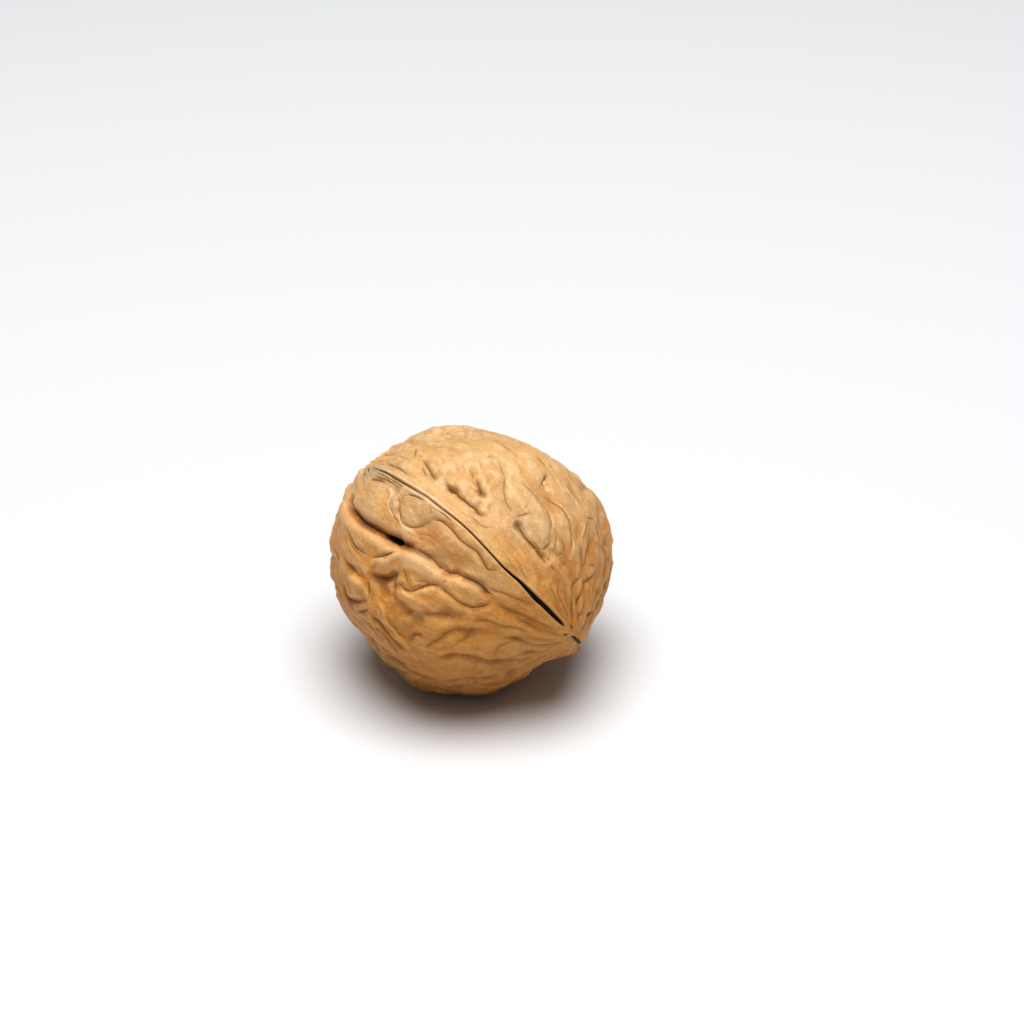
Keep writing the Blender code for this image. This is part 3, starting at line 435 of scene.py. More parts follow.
# Raised lobes on the front face: height, radius, middle
LOBES = [
    (0.7, 2.7, (-14.1, 7.1)), (0.3, 1.9, (-8.3, 6.1)), (0.5, 2.2, (-8.3, -0.9)),
    (0.4, 1.5, (-12.6, -0.3)), (0.3, 2.2, (-1.4, -4.8)), (0.4, 2.1, (8.1, 3.4)),
    (0.4, 2.0, (-16.3, -4.0)), (0.3, 2.4, (-7.5, -9.6)), (0.25, 2.0, (-3.5, 2.0)),
    (0.25, 0.6, (-8.0, -11.35)), (0.2, 0.6, (1.55, 13.0)), (0.16, 0.5, (-10.88, 7.6)),
    (0.16, 0.45, (-10.8, 6.8)), (0.2, 0.6, (0.1, 7.6)), (0.2, 0.6, (1.5, 7.3)), (0.2, 0.55, (1.3, 6.4)),
    (0.25, 0.8, (1.2, 9.4)), (0.25, 0.8, (1.0, 10.7)), (0.2, 0.9, (-1.6, 9.6)),
    (0.25, 0.7, (-10.4, -4.9)), (0.2, 0.6, (-9.6, -5.9)), (0.35, 1.2, (-16.3, -3.7)),
    (0.3, 0.8, (-15.4, -6.8)), (0.25, 0.6, (-13.1, -10.2)), (0.25, 1.0, (-12.7, -1.6)),
    (0.2, 0.6, (-10.6, -3.4)), (0.3, 1.6, (-5.0, 12.6)), (0.25, 1.2, (-9.3, 12.4)),
    (0.15, 0.6, (-0.9, 13.9)), (0.15, 0.6, (-1.2, 12.3)), (0.2, 1.0, (-2.0, 15.2)),
    (0.3, 2.3, (6.4, 7.6)), (0.25, 1.0, (7.6, 12.6)), (0.25, 1.1, (-3.4, 11.9)), (0.25, 1.7, (12.0, 9.2)),
    (0.2, 1.0, (11.6, 5.0)), (0.2, 0.9, (14.3, 6.2)), (0.15, 0.6, (11.2, 1.6)), (0.2, 1.0, (3.2, 14.8)),
    (0.2, 0.7, (2.9, 11.5)), (0.2, 1.0, (-8.4, 14.8)), (0.2, 0.8, (10.7, -0.9)), (0.2, 1.0, (5.2, 12.0)),
    (0.25, 1.3, (-2.0, -12.4)), (0.25, 1.5, (4.6, -13.2)), (0.25, 1.2, (1.6, -12.2)),
    (0.2, 1.1, (7.6, -12.2)),
]

# Pits on the front face: depth, radius, middle
PITS = [
    (0.9, 0.8, (-10.6, 2.1)), (0.55, 2.0, (-12.9, -3.4)), (0.45, 0.6, (-3.1, 8.9)),
    (0.45, 0.6, (0.9, 8.4)), (0.35, 0.7, (-0.3, 11.4)), (0.45, 0.6, (5.6, 4.0)), (0.3, 0.7, (-5.4, 10.7)),
    (0.3, 0.8, (5.8, 13.2)), (0.35, 0.6, (2.1, 10.4)), (0.25, 0.4, (-8.5, 13.6)),
    (0.4, 0.6, (-10.9, -2.6)), (0.35, 0.5, (-10.3, -4.0)), (0.3, 0.5, (-11.1, -4.1)),
    (0.3, 0.5, (-12.8, -6.26)), (0.3, 0.9, (-8.07, -8.55)), (0.2, 0.5, (0.8, 7.0)),
    (0.2, 0.5, (2.2, 6.6)), (0.2, 0.6, (1.1, 12.2)), (0.2, 0.6, (3.1, 9.6)), (0.7, 5.0, (12.6, 9.2)),
    (0.35, 3.5, (-8.5, 15.0)),
]

# Orange stains, which are partly painted shade under overhanging plates and crests, brown shadows and grey
# areas on the front face: strength, half width, route
STAINS_AND_PAINTED_SHADE = [
    (0.7, 0.35, [(2.67, 15.7), (3.14, 15.3), (3.9, 14.9), (4.5, 14.4), (5.4, 13.8)]),
    (0.3, 0.6, [(9.2, 9.8), (9.8, 8.4), (10.4, 7.0)]),
    (0.7, 0.2, [(4.45, 4.95), (4.5, 4.5), (4.4, 4.1)]),
    (0.6, 0.3, [(7.8, -1.0), (8.0, -1.5)]),
    (0.6, 0.3, [(8.2, -2.1), (8.8, -2.7)]),
    (0.6, 0.35, [(4.0, -1.1), (4.4, -1.4), (5.4, -1.7)]),
    # Painted shade under the crest on the lower left
    (0.7, 0.6, [(-13.9, -1.4), (-12.9, -1.6), (-11.9, -1.3)]),
    (0.7, 0.7, [(-15.8, -2.4), (-15.0, -3.0)]),
    (0.8, 0.6, [(-17.3, -5.2), (-16.6, -5.9)]),
    (0.7, 0.35, [(-14.2, -4.2), (-14.1, -5.8)]),
    (0.6, 0.7, [(-10.2, -5.6), (-9.8, -6.4), (-9.3, -7.4)]),
    (0.5, 0.9, [(-8.6, -9.6), (-8.4, -11.2)]),
    (0.5, 0.5, [(-13.6, -7.6), (-13.2, -8.6)]),
    (0.5, 0.9, [(-11.6, -11.4), (-10.0, -13.2), (-7.6, -14.4)]),
    # Painted shade below the crease under the band
    (0.55, 1.2, [(-8.4, 2.9), (-6.6, 3.0), (-5.0, 2.0), (-3.6, 0.8)]),
    (0.25, 2.6, [(12.4, -1.5), (11.6, -4.6)]),
    (0.4, 0.5, [(-8.9, -3.3), (-8.5, -4.0)]),
    # Painted shade under the plate that overhangs the big furrow
    (0.3, 1.0, [(-15.0, 6.3), (-13.8, 4.6), (-11.9, 3.9)]),
    (0.3, 0.9, [(-11.7, 8.9), (-12.0, 6.9)]),
]
BROWNS = [
    (0.75, 0.35, [(-9.9, 1.55), (-9.2, 1.2), (-8.2, 0.8), (-7.2, 0.4), (-6.4, -0.1)]),
    (0.5, 0.45, [(-1.4, -2.95), (-0.4, -3.25), (0.5, -3.75), (1.3, -4.5)]),
    (0.35, 0.35, [(-15.9, 6.0), (-14.6, 4.5), (-13.0, 3.5), (-11.6, 2.7)]),
    (0.25, 0.45, [(-14.0, -2.7), (-12.7, -3.15), (-11.5, -2.9), (-10.9, -2.3)]),
    (0.16, 3.0, [(9.0, -4.4), (11.6, -3.6), (13.2, -1.0)]),
    (0.1, 2.6, [(-6.0, -9.6), (-3.0, -9.4), (0.0, -8.8)]),
    (0.4, 0.45, [(-17.8, -5.0), (-17.2, -6.2), (-16.4, -7.2)]),
    (0.6, 0.45, [(-14.4, -11.4), (-13.8, -12.3), (-12.1, -13.6), (-10.7, -14.2), (-9.3, -15.1)]),
    (0.35, 0.4, [(-11.3, -5.2), (-10.2, -6.3), (-9.3, -7.6)]),
    (0.4, 0.35, [(-7.9, -7.8), (-6.0, -7.9), (-4.0, -8.1)]),
    (0.4, 0.3, [(-8.9, -11.4), (-8.5, -10.8), (-8.0, -10.6), (-7.5, -10.8)]),
    (0.35, 0.35, [(-4.1, 10.3), (-3.6, 9.4), (-3.0, 8.9)]),
    (0.35, 0.35, [(0.3, 9.6), (0.7, 8.7), (1.3, 8.4)]),
    (0.35, 0.4, [(5.6, 4.8), (5.8, 4.1), (6.2, 3.3)]),
]
GREYS = [
    (0.7, 0.6, [(-14.4, 12.2), (-13.2, 11.7), (-12.2, 11.0)]),
    (0.7, 0.5, [(-15.3, 11.4), (-14.4, 11.0)]),
    (0.5, 0.6, [(-11.8, 9.9), (-10.9, 9.0)]),
    (0.5, 0.9, [(-0.6, -3.0), (0.6, -3.4)]),
    (0.5, 0.8, [(-8.4, -8.4), (-7.6, -8.7)]),
    (0.5, 0.6, [(5.7, 4.3), (5.5, 3.3)]),
    (0.35, 2.2, [(7.2, 3.6), (9.6, 3.0)]),
    (0.4, 0.9, [(-11.1, -3.2), (-10.4, -4.4)]),
    (0.4, 1.3, [(-6.0, -0.2), (-4.2, -1.0)]),
    (0.35, 0.5, [(-8.0, 8.6), (-4.0, 6.1)]),
]

# How steep the sides of lobes and pits are
LOBE_POWER = 3
PIT_POWER = 2

# How far a crease fades at its ends, in millimetres and as a share of its length at most, and how its
# foot, cut, lip and the painted shade beside it spread. The cut and the lip go by its half width.
CREASE_TAPER = 2.0
MOST_TAPER = 0.35
CREASE_FOOT = 0.16
CUT_SPREAD = 1.35
LIP_PLACE = 1.1
LIP_SPREAD = 0.8
CREASE_SHADE_WIDTH = 0.6
CREASE_REACH = 2.5
SIDE_REACH = 1.5

# Between which distances a line's darkness ends. Between two close lines it goes where the next is
# hardly further away than the nearest, and where the nearest is some way off.
LINE_FADE = (0.5, 0.3)
CLOSE_LINES = (0.5, 0.1)
OFF_THE_LINE = (0.1, 0.25)

# The share of their length over which ridges and valleys fade, and how many half widths they reach
RIDGE_TAPER = 0.2
VALLEY_TAPER = 0.3
SOFT_REACH = 3.0

# The relief that isn't traced follows patterns that are longer along the shell than across it
STRETCH = (0.55, 1.0, 1.0)

# Slow swells over the whole shell
SWELL_HEIGHT = 0.35
SWELL_LENGTH = 16.0
SWELL_WAVES = 10

# A coarse and a fine net of creases: how many cells and how unevenly they stand, how far the lines
# stray and over what length, the length of faded stretches and between which heights of their waves
# they fade, depth, half width, and between which distances the darkness ends
NETS = {
    "net": (110, 1.4, 1.4, 9.0, 12.0, (-0.9, 0.9), 0.45, 1.8, (0.4, 0.25)),
    "small": (900, 0.5, 0.5, 3.5, 7.0, (-0.4, 0.9), 0.18, 0.9, (0.3, 0.15)),
}
STRAY_WAVES = 8
FADE_WAVES = 10

# How much of the nets and folds is left in front, and how far a point faces the camera where they
# start to go and where they have gone
SHARE_IN_FRONT = 0.1
FACING_SIDE = -0.2
FACING_FRONT = 0.68

# Folds that wander over the sides and the back, deep in some places and gone in others
FOLD_LENGTHS = [11.0, 7.5]
FOLD_WAVES = 9
FOLD_DEPTH = 0.6
FOLD_WIDTH = 1.5
FOLD_FADE = (-0.5, 1.0)
FAR_AWAY = 9.0

# The slope that waves count with where they are flatter, so that no line gets too wide there
LEAST_SLOPE = 0.3

# Small lumps, which stand higher round a rough spot on the front face
LUMP_HEIGHT = 0.22
LUMP_PITCH = 0.4
LUMP_ROUGHNESS = 0.9
LUMP_RATIO = 2.1
LUMP_OCTAVES = 4
ROUGH_SPOT = (-10.5, -8.5)
ROUGH_RADIUS = 6.0
ROUGH_HEIGHT = 0.2

# Wrinkles towards both ends: how many go round, how high and how far they reach, and between which
# angles from the end they come in
WRINKLE_COUNTS = (13, 17, 22)
WRINKLE_HEIGHT = 0.35
WRINKLE_SPREAD = math.radians(38)
WRINKLE_START = 0.05
WRINKLE_FULL = 0.35

# Rounds of averaging for the form close by and the form further round each point
NEAR_ROUNDS = 12
FAR_ROUNDS = 120

SEED = 7


def smooth_step(low, high, value):
    """Rise from 0 at low to 1 at high, level at both ends."""
    share = np.clip((value - low) / (high - low), 0.0, 1.0)
    return share * share * (3.0 - 2.0 * share)


def view_axes():
    """Right, up and towards the camera, one a row, in the row frame."""
    back = np.array((math.sin(VIEW_AZIMUTH) * math.cos(VIEW_ELEVATION),
                     -math.cos(VIEW_AZIMUTH) * math.cos(VIEW_ELEVATION),
                     math.sin(VIEW_ELEVATION)))
    right = np.array((math.cos(VIEW_AZIMUTH), math.sin(VIEW_AZIMUTH), 0.0))
    return np.array((right, np.cross(back, right), back))


def resting_axes():
    """The shell's own three axes, one a row, as it lies."""
    along = np.array((math.cos(TIP_DIP), 0.0, -math.sin(TIP_DIP)))
    above = np.array((math.sin(TIP_DIP), 0.0, math.cos(TIP_DIP)))
    seam = math.cos(SEAM_ROLL) * np.array((0.0, -1.0, 0.0)) + math.sin(SEAM_ROLL) * above
    return np.array((along, seam, np.cross(along, seam)))


FACE = view_axes() @ resting_axes().T


def half_lengths(points):
    """The body's half length along each axis, on the side of the middle where each point is."""
    lengths = np.empty_like(points)
    lengths[:, 0] = np.where(points[:, 0] > 0.0, TIP_LENGTH, STEM_LENGTH)
    lengths[:, 1] = SEAM_WIDTH
    lengths[:, 2] = np.where(points[:, 2] > 0.0, LOWER_CHEEK, UPPER_CHEEK)
    return lengths


def plain_body(directions):
    """The plain body's points and outward normals in these directions."""
    lengths = half_lengths(directions)
    normals = directions / lengths
    return directions * lengths, normals / np.linalg.norm(normals, axis=1, keepdims=True)


def smooth_curve(points):
    """A Catmull-Rom curve through points."""
    points = np.asarray(points, dtype=float)
    padded = np.vstack((2.0 * points[0] - points[1], points, 2.0 * points[-1] - points[-2]))
    curve = []
    for before, start, end, after in zip(padded[:-3], padded[1:-2], padded[2:-1], padded[3:]):
        for step in range(CURVE_STEPS):
            t = step / CURVE_STEPS
            curve.append(0.5 * (2.0 * start + (end - before) * t
                                + (2.0 * before - 5.0 * start + 4.0 * end - after) * t * t
                                + (3.0 * start - before - 3.0 * end + after) * t ** 3))
    curve.append(points[-1])
    return np.array(curve)


def draw_waves(wavelength, count, generator):
    """Headings and phases of sine waves that sum to smooth noise."""
    drawn = []
    for _ in range(count):
        heading = generator.normal(size=3)
        heading *= 2.0 * math.pi / (wavelength * np.linalg.norm(heading))
        drawn.append((heading, generator.uniform(0.0, 2.0 * math.pi)))
    return drawn


def wave_height(points, drawn):
    """Smooth noise of about unit size from drawn waves."""
    total = np.zeros(len(points))
    for heading, phase in drawn:
        total += np.sin(points @ heading + phase)
    return total * math.sqrt(2.0 / len(drawn))


GENERATOR = np.random.default_rng(SEED)
SWELLS = draw_waves(SWELL_LENGTH, SWELL_WAVES, GENERATOR)


def bulges(directions):
    """Height of the broad bulges and hollows."""
    height = np.zeros(len(directions))
    for rise, spread, tipward, turn in BULGES:
        tipward, turn = math.radians(tipward), math.radians(turn)
        heading = np.array((math.sin(tipward), math.cos(tipward) * math.cos(turn),
                            math.cos(tipward) * math.sin(turn)))
        angle = np.arccos(np.clip(directions @ heading, -1.0, 1.0))
        height += rise * np.exp(-(angle / math.radians(spread)) ** 2)
    return height


def ends(directions):
    """Rise of the pointed tip, and the hollow at the stem."""
    from_tip = np.arccos(np.clip(directions[:, 0], -1.0, 1.0))
    from_stem = math.pi - from_tip
    point = TIP_POINT * np.exp(-from_tip / TIP_SPREAD)
    return point - STEM_HOLLOW * np.exp(-(from_stem / STEM_SPREAD) ** 2)


def along_sight(marks):
    """Carry marks on the face plane along the line of sight onto the plain body."""
    right, up, back = FACE
    eye = back * VIEW_DISTANCE + right * AIM_RIGHT + up * AIM_UP
    sight = marks[:, :1] * right + marks[:, 1:2] * up - eye
    sight /= np.linalg.norm(sight, axis=1, keepdims=True)
    far = -(sight @ eye)
    near = far - 2.0 * STEM_LENGTH
    for _ in range(SIGHT_HALVINGS):
        middle = 0.5 * (near + far)
        points = eye + middle[:, None] * sight
        inside = np.sum((points / half_lengths(points)) ** 2, axis=1) < 1.0
        far = np.where(inside, middle, far)
        near = np.where(inside, near, middle)
    return eye + far[:, None] * sight


def on_body(marks, rise=0.0, raised=None):
    """Where marks belong on the plain body, so that the form lifts them to where they are seen.

    Rise is the height of the marks themselves, and raised gives that of the forms that they lie on.
    """
    marks = np.asarray(marks, dtype=float)[:, :2]
    aim = marks
    for _ in range(FIT_ROUNDS):
        points = along_sight(aim)
        directions = points / half_lengths(points)
        directions /= np.linalg.norm(directions, axis=1, keepdims=True)
        points, normals = plain_body(directions)
        lift = rise + bulges(directions) + ends(directions) + SWELL_HEIGHT * wave_height(points, SWELLS)
        if raised is not None:
            lift += raised(points, normals)
        aim = marks - lift[:, None] * (normals @ FACE[:2].T)
    return along_sight(aim)


def on_form(marks, rise=0.0):
    """Where marks belong on the plain body, when the band and the lobes lift them too."""
    return on_body(marks, rise, lambda points, normals: band(points, normals) + lobes(points))


def from_line(points, normals, line):
    """Each point's distance from a line, its place along it from 0 to 1, and the bank it is on."""
    distance = np.full(len(points), np.inf)
    along = np.zeros(len(points))
    bank = np.zeros(len(points))
    for index, (start, end) in enumerate(zip(line[:-1], line[1:])):
        edge = end - start
        share = np.clip((points - start) @ edge / (edge @ edge), 0.0, 1.0)
        offset = points - start - share[:, None] * edge
        gap = np.linalg.norm(offset, axis=1)
        nearer = gap < distance
        distance[nearer] = gap[nearer]
        along[nearer] = (index + share[nearer]) / (len(line) - 1)
        bank[nearer] = np.sign(np.sum(offset * np.cross(normals, edge), axis=1))[nearer]
    return distance, along, bank


def steps(values):
    """Places from 0 to 1 for each of some values."""
    return np.linspace(0.0, 1.0, len(values))


SEAM_CURVE = smooth_curve(FRONT_SEAM)
SEAM_LINE = on_body(SEAM_CURVE, np.interp(steps(SEAM_CURVE), steps(SEAM_BAND_HEIGHT), SEAM_BAND_HEIGHT))
LOBE_MIDDLES = on_body([middle for _, _, middle in LOBES], np.array([rise for rise, _, _ in LOBES]))


def band(points, normals):
    """Height of the front seam's band."""
    distance, along, _ = from_line(points, normals, SEAM_LINE)
    height = np.interp(along, steps(SEAM_BAND_HEIGHT), SEAM_BAND_HEIGHT)
    return height * np.exp(-(distance / SEAM_BAND_SPREAD) ** 2)


def mounds(points, shapes, middles, power):
    """Sum of round mounds, each a height, a radius and its mark."""
    height = np.zeros(len(points))
    for (rise, radius, _), middle in zip(shapes, middles):
        distance = np.linalg.norm(points - middle, axis=1)
        height += rise * np.exp(-(distance / radius) ** power)
    return height


def lobes(points):
    """Height of the raised lobes."""
    return mounds(points, LOBES, LOBE_MIDDLES, LOBE_POWER)


def pits(points):
    """Depth of the round pits."""
    middles = on_form([middle for _, _, middle in PITS], -np.array([depth for depth, _, _ in PITS]))
    return mounds(points, PITS, middles, PIT_POWER)


def beside(points, normals, line, reach):
    """Indices of the points that may lie within reach of a line, and what from_line says of them."""
    middle = 0.5 * (line.min(axis=0) + line.max(axis=0))
    radius = np.linalg.norm(line - middle, axis=1).max() + reach
    some = np.nonzero(np.linalg.norm(points - middle, axis=1) < radius)[0]
    return some, *from_line(points[some], normals[some], line)


def crease_shape(distance, width):
    """Share of a crease's depth at a distance from its line: steep sides on a small round foot."""
    bank = np.clip(1.0 - np.hypot(distance, CREASE_FOOT) / width, 0.0, 1.0)
    return bank ** 2 / (1.0 - CREASE_FOOT / width) ** 2


def end_taper(along, length):
    """Fades out at both ends of a route."""
    return smooth_step(0.0, length, along) * smooth_step(0.0, length, 1.0 - along)


def lone_share(gap, next_gap):
    """Share of a line's darkness that stays: less midway between two lines that run close together."""
    return 1.0 - smooth_step(*CLOSE_LINES, next_gap - gap) * smooth_step(*OFF_THE_LINE, gap)


def note_line(look, some, distance, bank, tone):
    """Keep the side and darkness of the nearest line, and how near the next one is."""
    gap = look["line_gap"][some]
    nearer = distance < gap
    look["next_gap"][some] = np.where(nearer, gap, np.minimum(look["next_gap"][some], distance))
    signed = distance * np.where(bank < 0.0, -1.0, 1.0)
    for name, values in (("line_gap", distance), ("line_tone", tone), ("line_side", signed)):
        look[name][some[nearer]] = values[nearer]


def raise_to(values, some, shown):
    """Bring some of the values up to what is shown there."""
    values[some] = np.maximum(values[some], shown)


def creases(points, normals, look):
    """Height of the front creases. Their side, darkness and the painted shade beside them go into look."""
    cut = np.zeros(len(points))
    lips = np.zeros(len(points))
    for depth, width, lip, dark, marks in CREASES:
        curve = smooth_curve(marks)
        length = np.linalg.norm(np.diff(curve, axis=0), axis=1).sum()
        taper_share = min(MOST_TAPER, CREASE_TAPER / length)
        line = on_form(curve, -depth * end_taper(steps(curve), taper_share))
        reach = max(CREASE_REACH * width, SIDE_REACH)
        some, distance, along, bank = beside(points, normals, line, reach)
        taper = end_taper(along, taper_share)
        raise_to(cut, some, depth * taper * crease_shape(distance, CUT_SPREAD * width))
        crest = np.exp(-((distance - LIP_PLACE * width) / (LIP_SPREAD * width)) ** 2)
        lips[some] += abs(lip) * taper * crest * (bank * lip > 0.0)
        # Painted shade beside the crease
        raise_to(look["crease_shade"], some, dark * taper * np.exp(-(distance / CREASE_SHADE_WIDTH) ** 2))
        note_line(look, some, distance, bank, dark * taper * smooth_step(*LINE_FADE, distance))
    look["line_tone"] *= lone_share(look["line_gap"], look["next_gap"])
    return lips - cut


def soft_routes(points, normals, routes, sign):
    """For each soft route: its strength, the points near it, their places along it and its share there.

    A sign of 1 fits the route to where it stands raised, -1 to where it is sunk, 0 to the form.
    """
    for strength, width, marks in routes:
        line = on_form(smooth_curve(marks), sign * strength)
        some, distance, along, _ = beside(points, normals, line, SOFT_REACH * width)
        yield strength, some, along, np.exp(-(distance / width) ** 2)


def ridges(points, normals, look):
    """Height of the pale ridges. Where they show goes into look, for their paler colour and painted
    highlight.
    """
    height = np.zeros(len(points))
    for rise, some, along, share in soft_routes(points, normals, RIDGES, 1.0):
        share = end_taper(along, RIDGE_TAPER) * share
        height[some] += rise * share
        raise_to(look["crest"], some, share)
    return height


def valleys(points, normals):
    """Depth of the soft valleys."""
    depth = np.zeros(len(points))
    for fall, some, along, share in soft_routes(points, normals, VALLEYS, -1.0):
        depth[some] += fall * end_taper(along, VALLEY_TAPER) * share
    return depth


def painted(points, normals, strokes):
    """How strongly soft strokes show at each point."""
    shown = np.zeros(len(points))
    for strength, some, _, share in soft_routes(points, normals, strokes, 0.0):
        raise_to(shown, some, strength * share)
    return shown


def slits(points, normals, look):
    """Depth of the crack, the hole and the dark spots. The distance from their edges and how dark they are
    go into look; in the crack and the hole that dark is painted shade.
    """
    cut = np.zeros(len(points))
    for depth, dark, edges, marks in SLITS:
        curve = smooth_curve(marks)
        some, distance, along, _ = beside(points, normals, on_form(curve, edges), SLIT_REACH)
        from_edge = distance - np.interp(along, steps(curve), curve[:, 2])
        opening = smooth_step(SLIT_BANK, -SLIT_BANK, from_edge)
        raise_to(cut, some, depth * end_taper(along, SLIT_TAPER) * opening)
        nearer = from_edge < look["slit"][some]
        look["slit"][some[nearer]] = from_edge[nearer]
        look["slit_tone"][some[nearer]] = dark
    return cut


def back_seam_turn(station):
    """How far the back seam wanders about the long axis at each station from stem to tip."""
    return BACK_SEAM_SWAY * np.sin(BACK_SEAM_BENDS * station + BACK_SEAM_START) * (1.0 - station ** 2)


def back_seam(points, directions, look):
    """Height of the back seam's band and crack."""
    turn = np.arctan2(directions[:, 2], -directions[:, 1]) + back_seam_turn(directions[:, 0])
    distance = np.abs(turn) * np.hypot(points[:, 1], points[:, 2])
    off_the_ends = smooth_step(0.0, SEAM_END, np.hypot(directions[:, 1], directions[:, 2]))
    raised = BACK_BAND_HEIGHT * np.exp(-(distance / SEAM_BAND_SPREAD) ** 2)
    from_edge = distance - BACK_CRACK_WIDTH * off_the_ends
    look["slit"] = np.minimum(look["slit"], from_edge + BACK_CRACK_INSET)
    return off_the_ends * (raised - BACK_CRACK_DEPTH * smooth_step(SLIT_BANK, -SLIT_BANK, from_edge))


def even_points(count):
    """Directions spread evenly over a sphere."""
    index = np.arange(count) + 0.5
    polar = np.arccos(1.0 - 2.0 * index / count)
    around = math.pi * (1.0 + math.sqrt(5.0)) * index
    return np.column_stack((np.cos(polar), np.sin(polar) * np.cos(around), np.sin(polar) * np.sin(around)))


def cell_borders(points, middles):
    """Each point's distance from the nearest border of two cells, signed by side, and its lone share."""
    tree = kdtree.KDTree(len(middles))
    for index, middle in enumerate(middles * STRETCH):
        tree.insert(middle, index)
    tree.balance()
    gaps = np.empty((len(points), 3))
    side = np.empty(len(points))
    for row, point in enumerate(points * STRETCH):
        (_, first, gap), (_, second, next_gap), (_, _, last_gap) = tree.find_n(point, 3)
        gaps[row] = gap, next_gap, last_gap
        side[row] = 0.5 if first < second else -0.5
    near = gaps[:, 1] - gaps[:, 0]
    far = gaps[:, 2] - gaps[:, 0]
    return near * side, lone_share(0.5 * near, 0.5 * far)


def net(points, share, name, generator, look):
    """Depth of a net of creases, which fades in and out. Its side and darkness go into look."""
    count, scatter, stray, stray_length, fade_length, faded, depth, width, dark = NETS[name]
    middles = even_points(count) * SEAM_WIDTH + generator.normal(scale=scatter, size=(count, 3))
    strayed = [wave_height(points, draw_waves(stray_length, STRAY_WAVES, generator)) for _ in range(3)]
    border, lone = cell_borders(points + stray * np.column_stack(strayed), middles)
    fade = wave_height(points, draw_waves(fade_length, FADE_WAVES, generator))
    share = share * smooth_step(*faded, fade)
    look[name + "_side"] = border
    look[name + "_tone"] = share * lone * smooth_step(*dark, np.abs(border))
    return share * depth * crease_shape(2.0 * np.abs(border), width)


def wave_lines(points, drawn):
    """Each point's distance from the lines where drawn waves cancel, signed by the side."""
    total = np.zeros(len(points))
    slope = np.zeros_like(points)
    for heading, phase in drawn:
        total += np.sin(points @ heading + phase)
        slope += np.cos(points @ heading + phase)[:, None] * heading
    return total / np.maximum(np.linalg.norm(slope, axis=1), LEAST_SLOPE)


def folds(points, net_share, generator, look):
    """Depth of the wandering folds. Their side and darkness go into look."""
    depth = np.zeros(len(points))
    nearest = np.full(len(points), FAR_AWAY)
    next_gap = nearest.copy()
    tone = depth.copy()
    for length in FOLD_LENGTHS:
        side = wave_lines(points * STRETCH, draw_waves(length, FOLD_WAVES, generator))
        gap = np.abs(side)
        fade = wave_height(points, draw_waves(length, FOLD_WAVES, generator))
        share = net_share * smooth_step(*FOLD_FADE, fade)
        depth = np.maximum(depth, share * FOLD_DEPTH * crease_shape(gap, FOLD_WIDTH))
        next_gap = np.minimum(next_gap, np.maximum(gap, np.abs(nearest)))
        nearer = gap < np.abs(nearest)
        nearest = np.where(nearer, side, nearest)
        tone = np.where(nearer, share * smooth_step(*LINE_FADE, gap), tone)
    look["fold_side"] = nearest
    look["fold_tone"] = tone * lone_share(np.abs(nearest), next_gap)
    return depth


def wrinkles(directions):
    """Height of the wrinkles that run to the tip and the stem."""
    turn = np.arctan2(directions[:, 2], directions[:, 1])
    off_axis = np.arccos(np.clip(np.abs(directions[:, 0]), 0.0, 1.0))
    height = np.zeros(len(directions))
    for count in WRINKLE_COUNTS:
        height += np.sin(count * turn + GENERATOR.uniform(0.0, 2.0 * math.pi)) / len(WRINKLE_COUNTS)
    off_ends = smooth_step(WRINKLE_START, WRINKLE_FULL, off_axis)
    return WRINKLE_HEIGHT * height * np.exp(-(off_axis / WRINKLE_SPREAD) ** 2) * off_ends


def lowest_point():
    """The plain body's lowest point as it lies, where the relief fades out round the flat spot."""
    down = -resting_axes()[:, 2]
    lengths = half_lengths(down[None, :])[0]
    return lengths ** 2 * down / np.linalg.norm(lengths * down)


def unevenness(points):
    """Small irregular lumps, higher round the rough spot."""
    lumps = np.array([noise.fractal(Vector(point) * LUMP_PITCH, LUMP_ROUGHNESS, LUMP_RATIO, LUMP_OCTAVES)
                      for point in points * STRETCH])
    from_rough = np.linalg.norm(points - on_form([ROUGH_SPOT])[0], axis=1)
    return (LUMP_HEIGHT + ROUGH_HEIGHT * np.exp(-(from_rough / ROUGH_RADIUS) ** 2)) * lumps


def relief(points, normals, directions, look):
    """Height of the whole relief above the plain body."""
    in_front = smooth_step(FACING_SIDE, FACING_FRONT, normals @ FACE[2])
    net_share = 1.0 - (1.0 - SHARE_IN_FRONT) * in_front
    small_share = smooth_step(SHARE_IN_FRONT, 1.0, net_share)
    height = SWELL_HEIGHT * wave_height(points, SWELLS)
    height -= net(points, net_share, "net", GENERATOR, look)
    height += wrinkles(directions) + ends(directions)
    height -= net(points, small_share, "small", np.random.default_rng(SEED + 1), look)
    height -= folds(points, net_share, np.random.default_rng(SEED + 2), look)
    height += unevenness(points)
    height += band(points, normals) + back_seam(points, directions, look)
    height += creases(points, normals, look) + ridges(points, normals, look)
    height += lobes(points) - pits(points) - valleys(points, normals)
    height -= slits(points, normals, look)
    for name, strokes in (("stain_and_shade", STAINS_AND_PAINTED_SHADE), ("brown", BROWNS), ("grey", GREYS)):
        look[name] = painted(points, normals, strokes)
    from_rest = np.linalg.norm(points - lowest_point(), axis=1)
    return bulges(directions) + height * smooth_step(FLAT_RADIUS, CLEAR_RADIUS, from_rest)


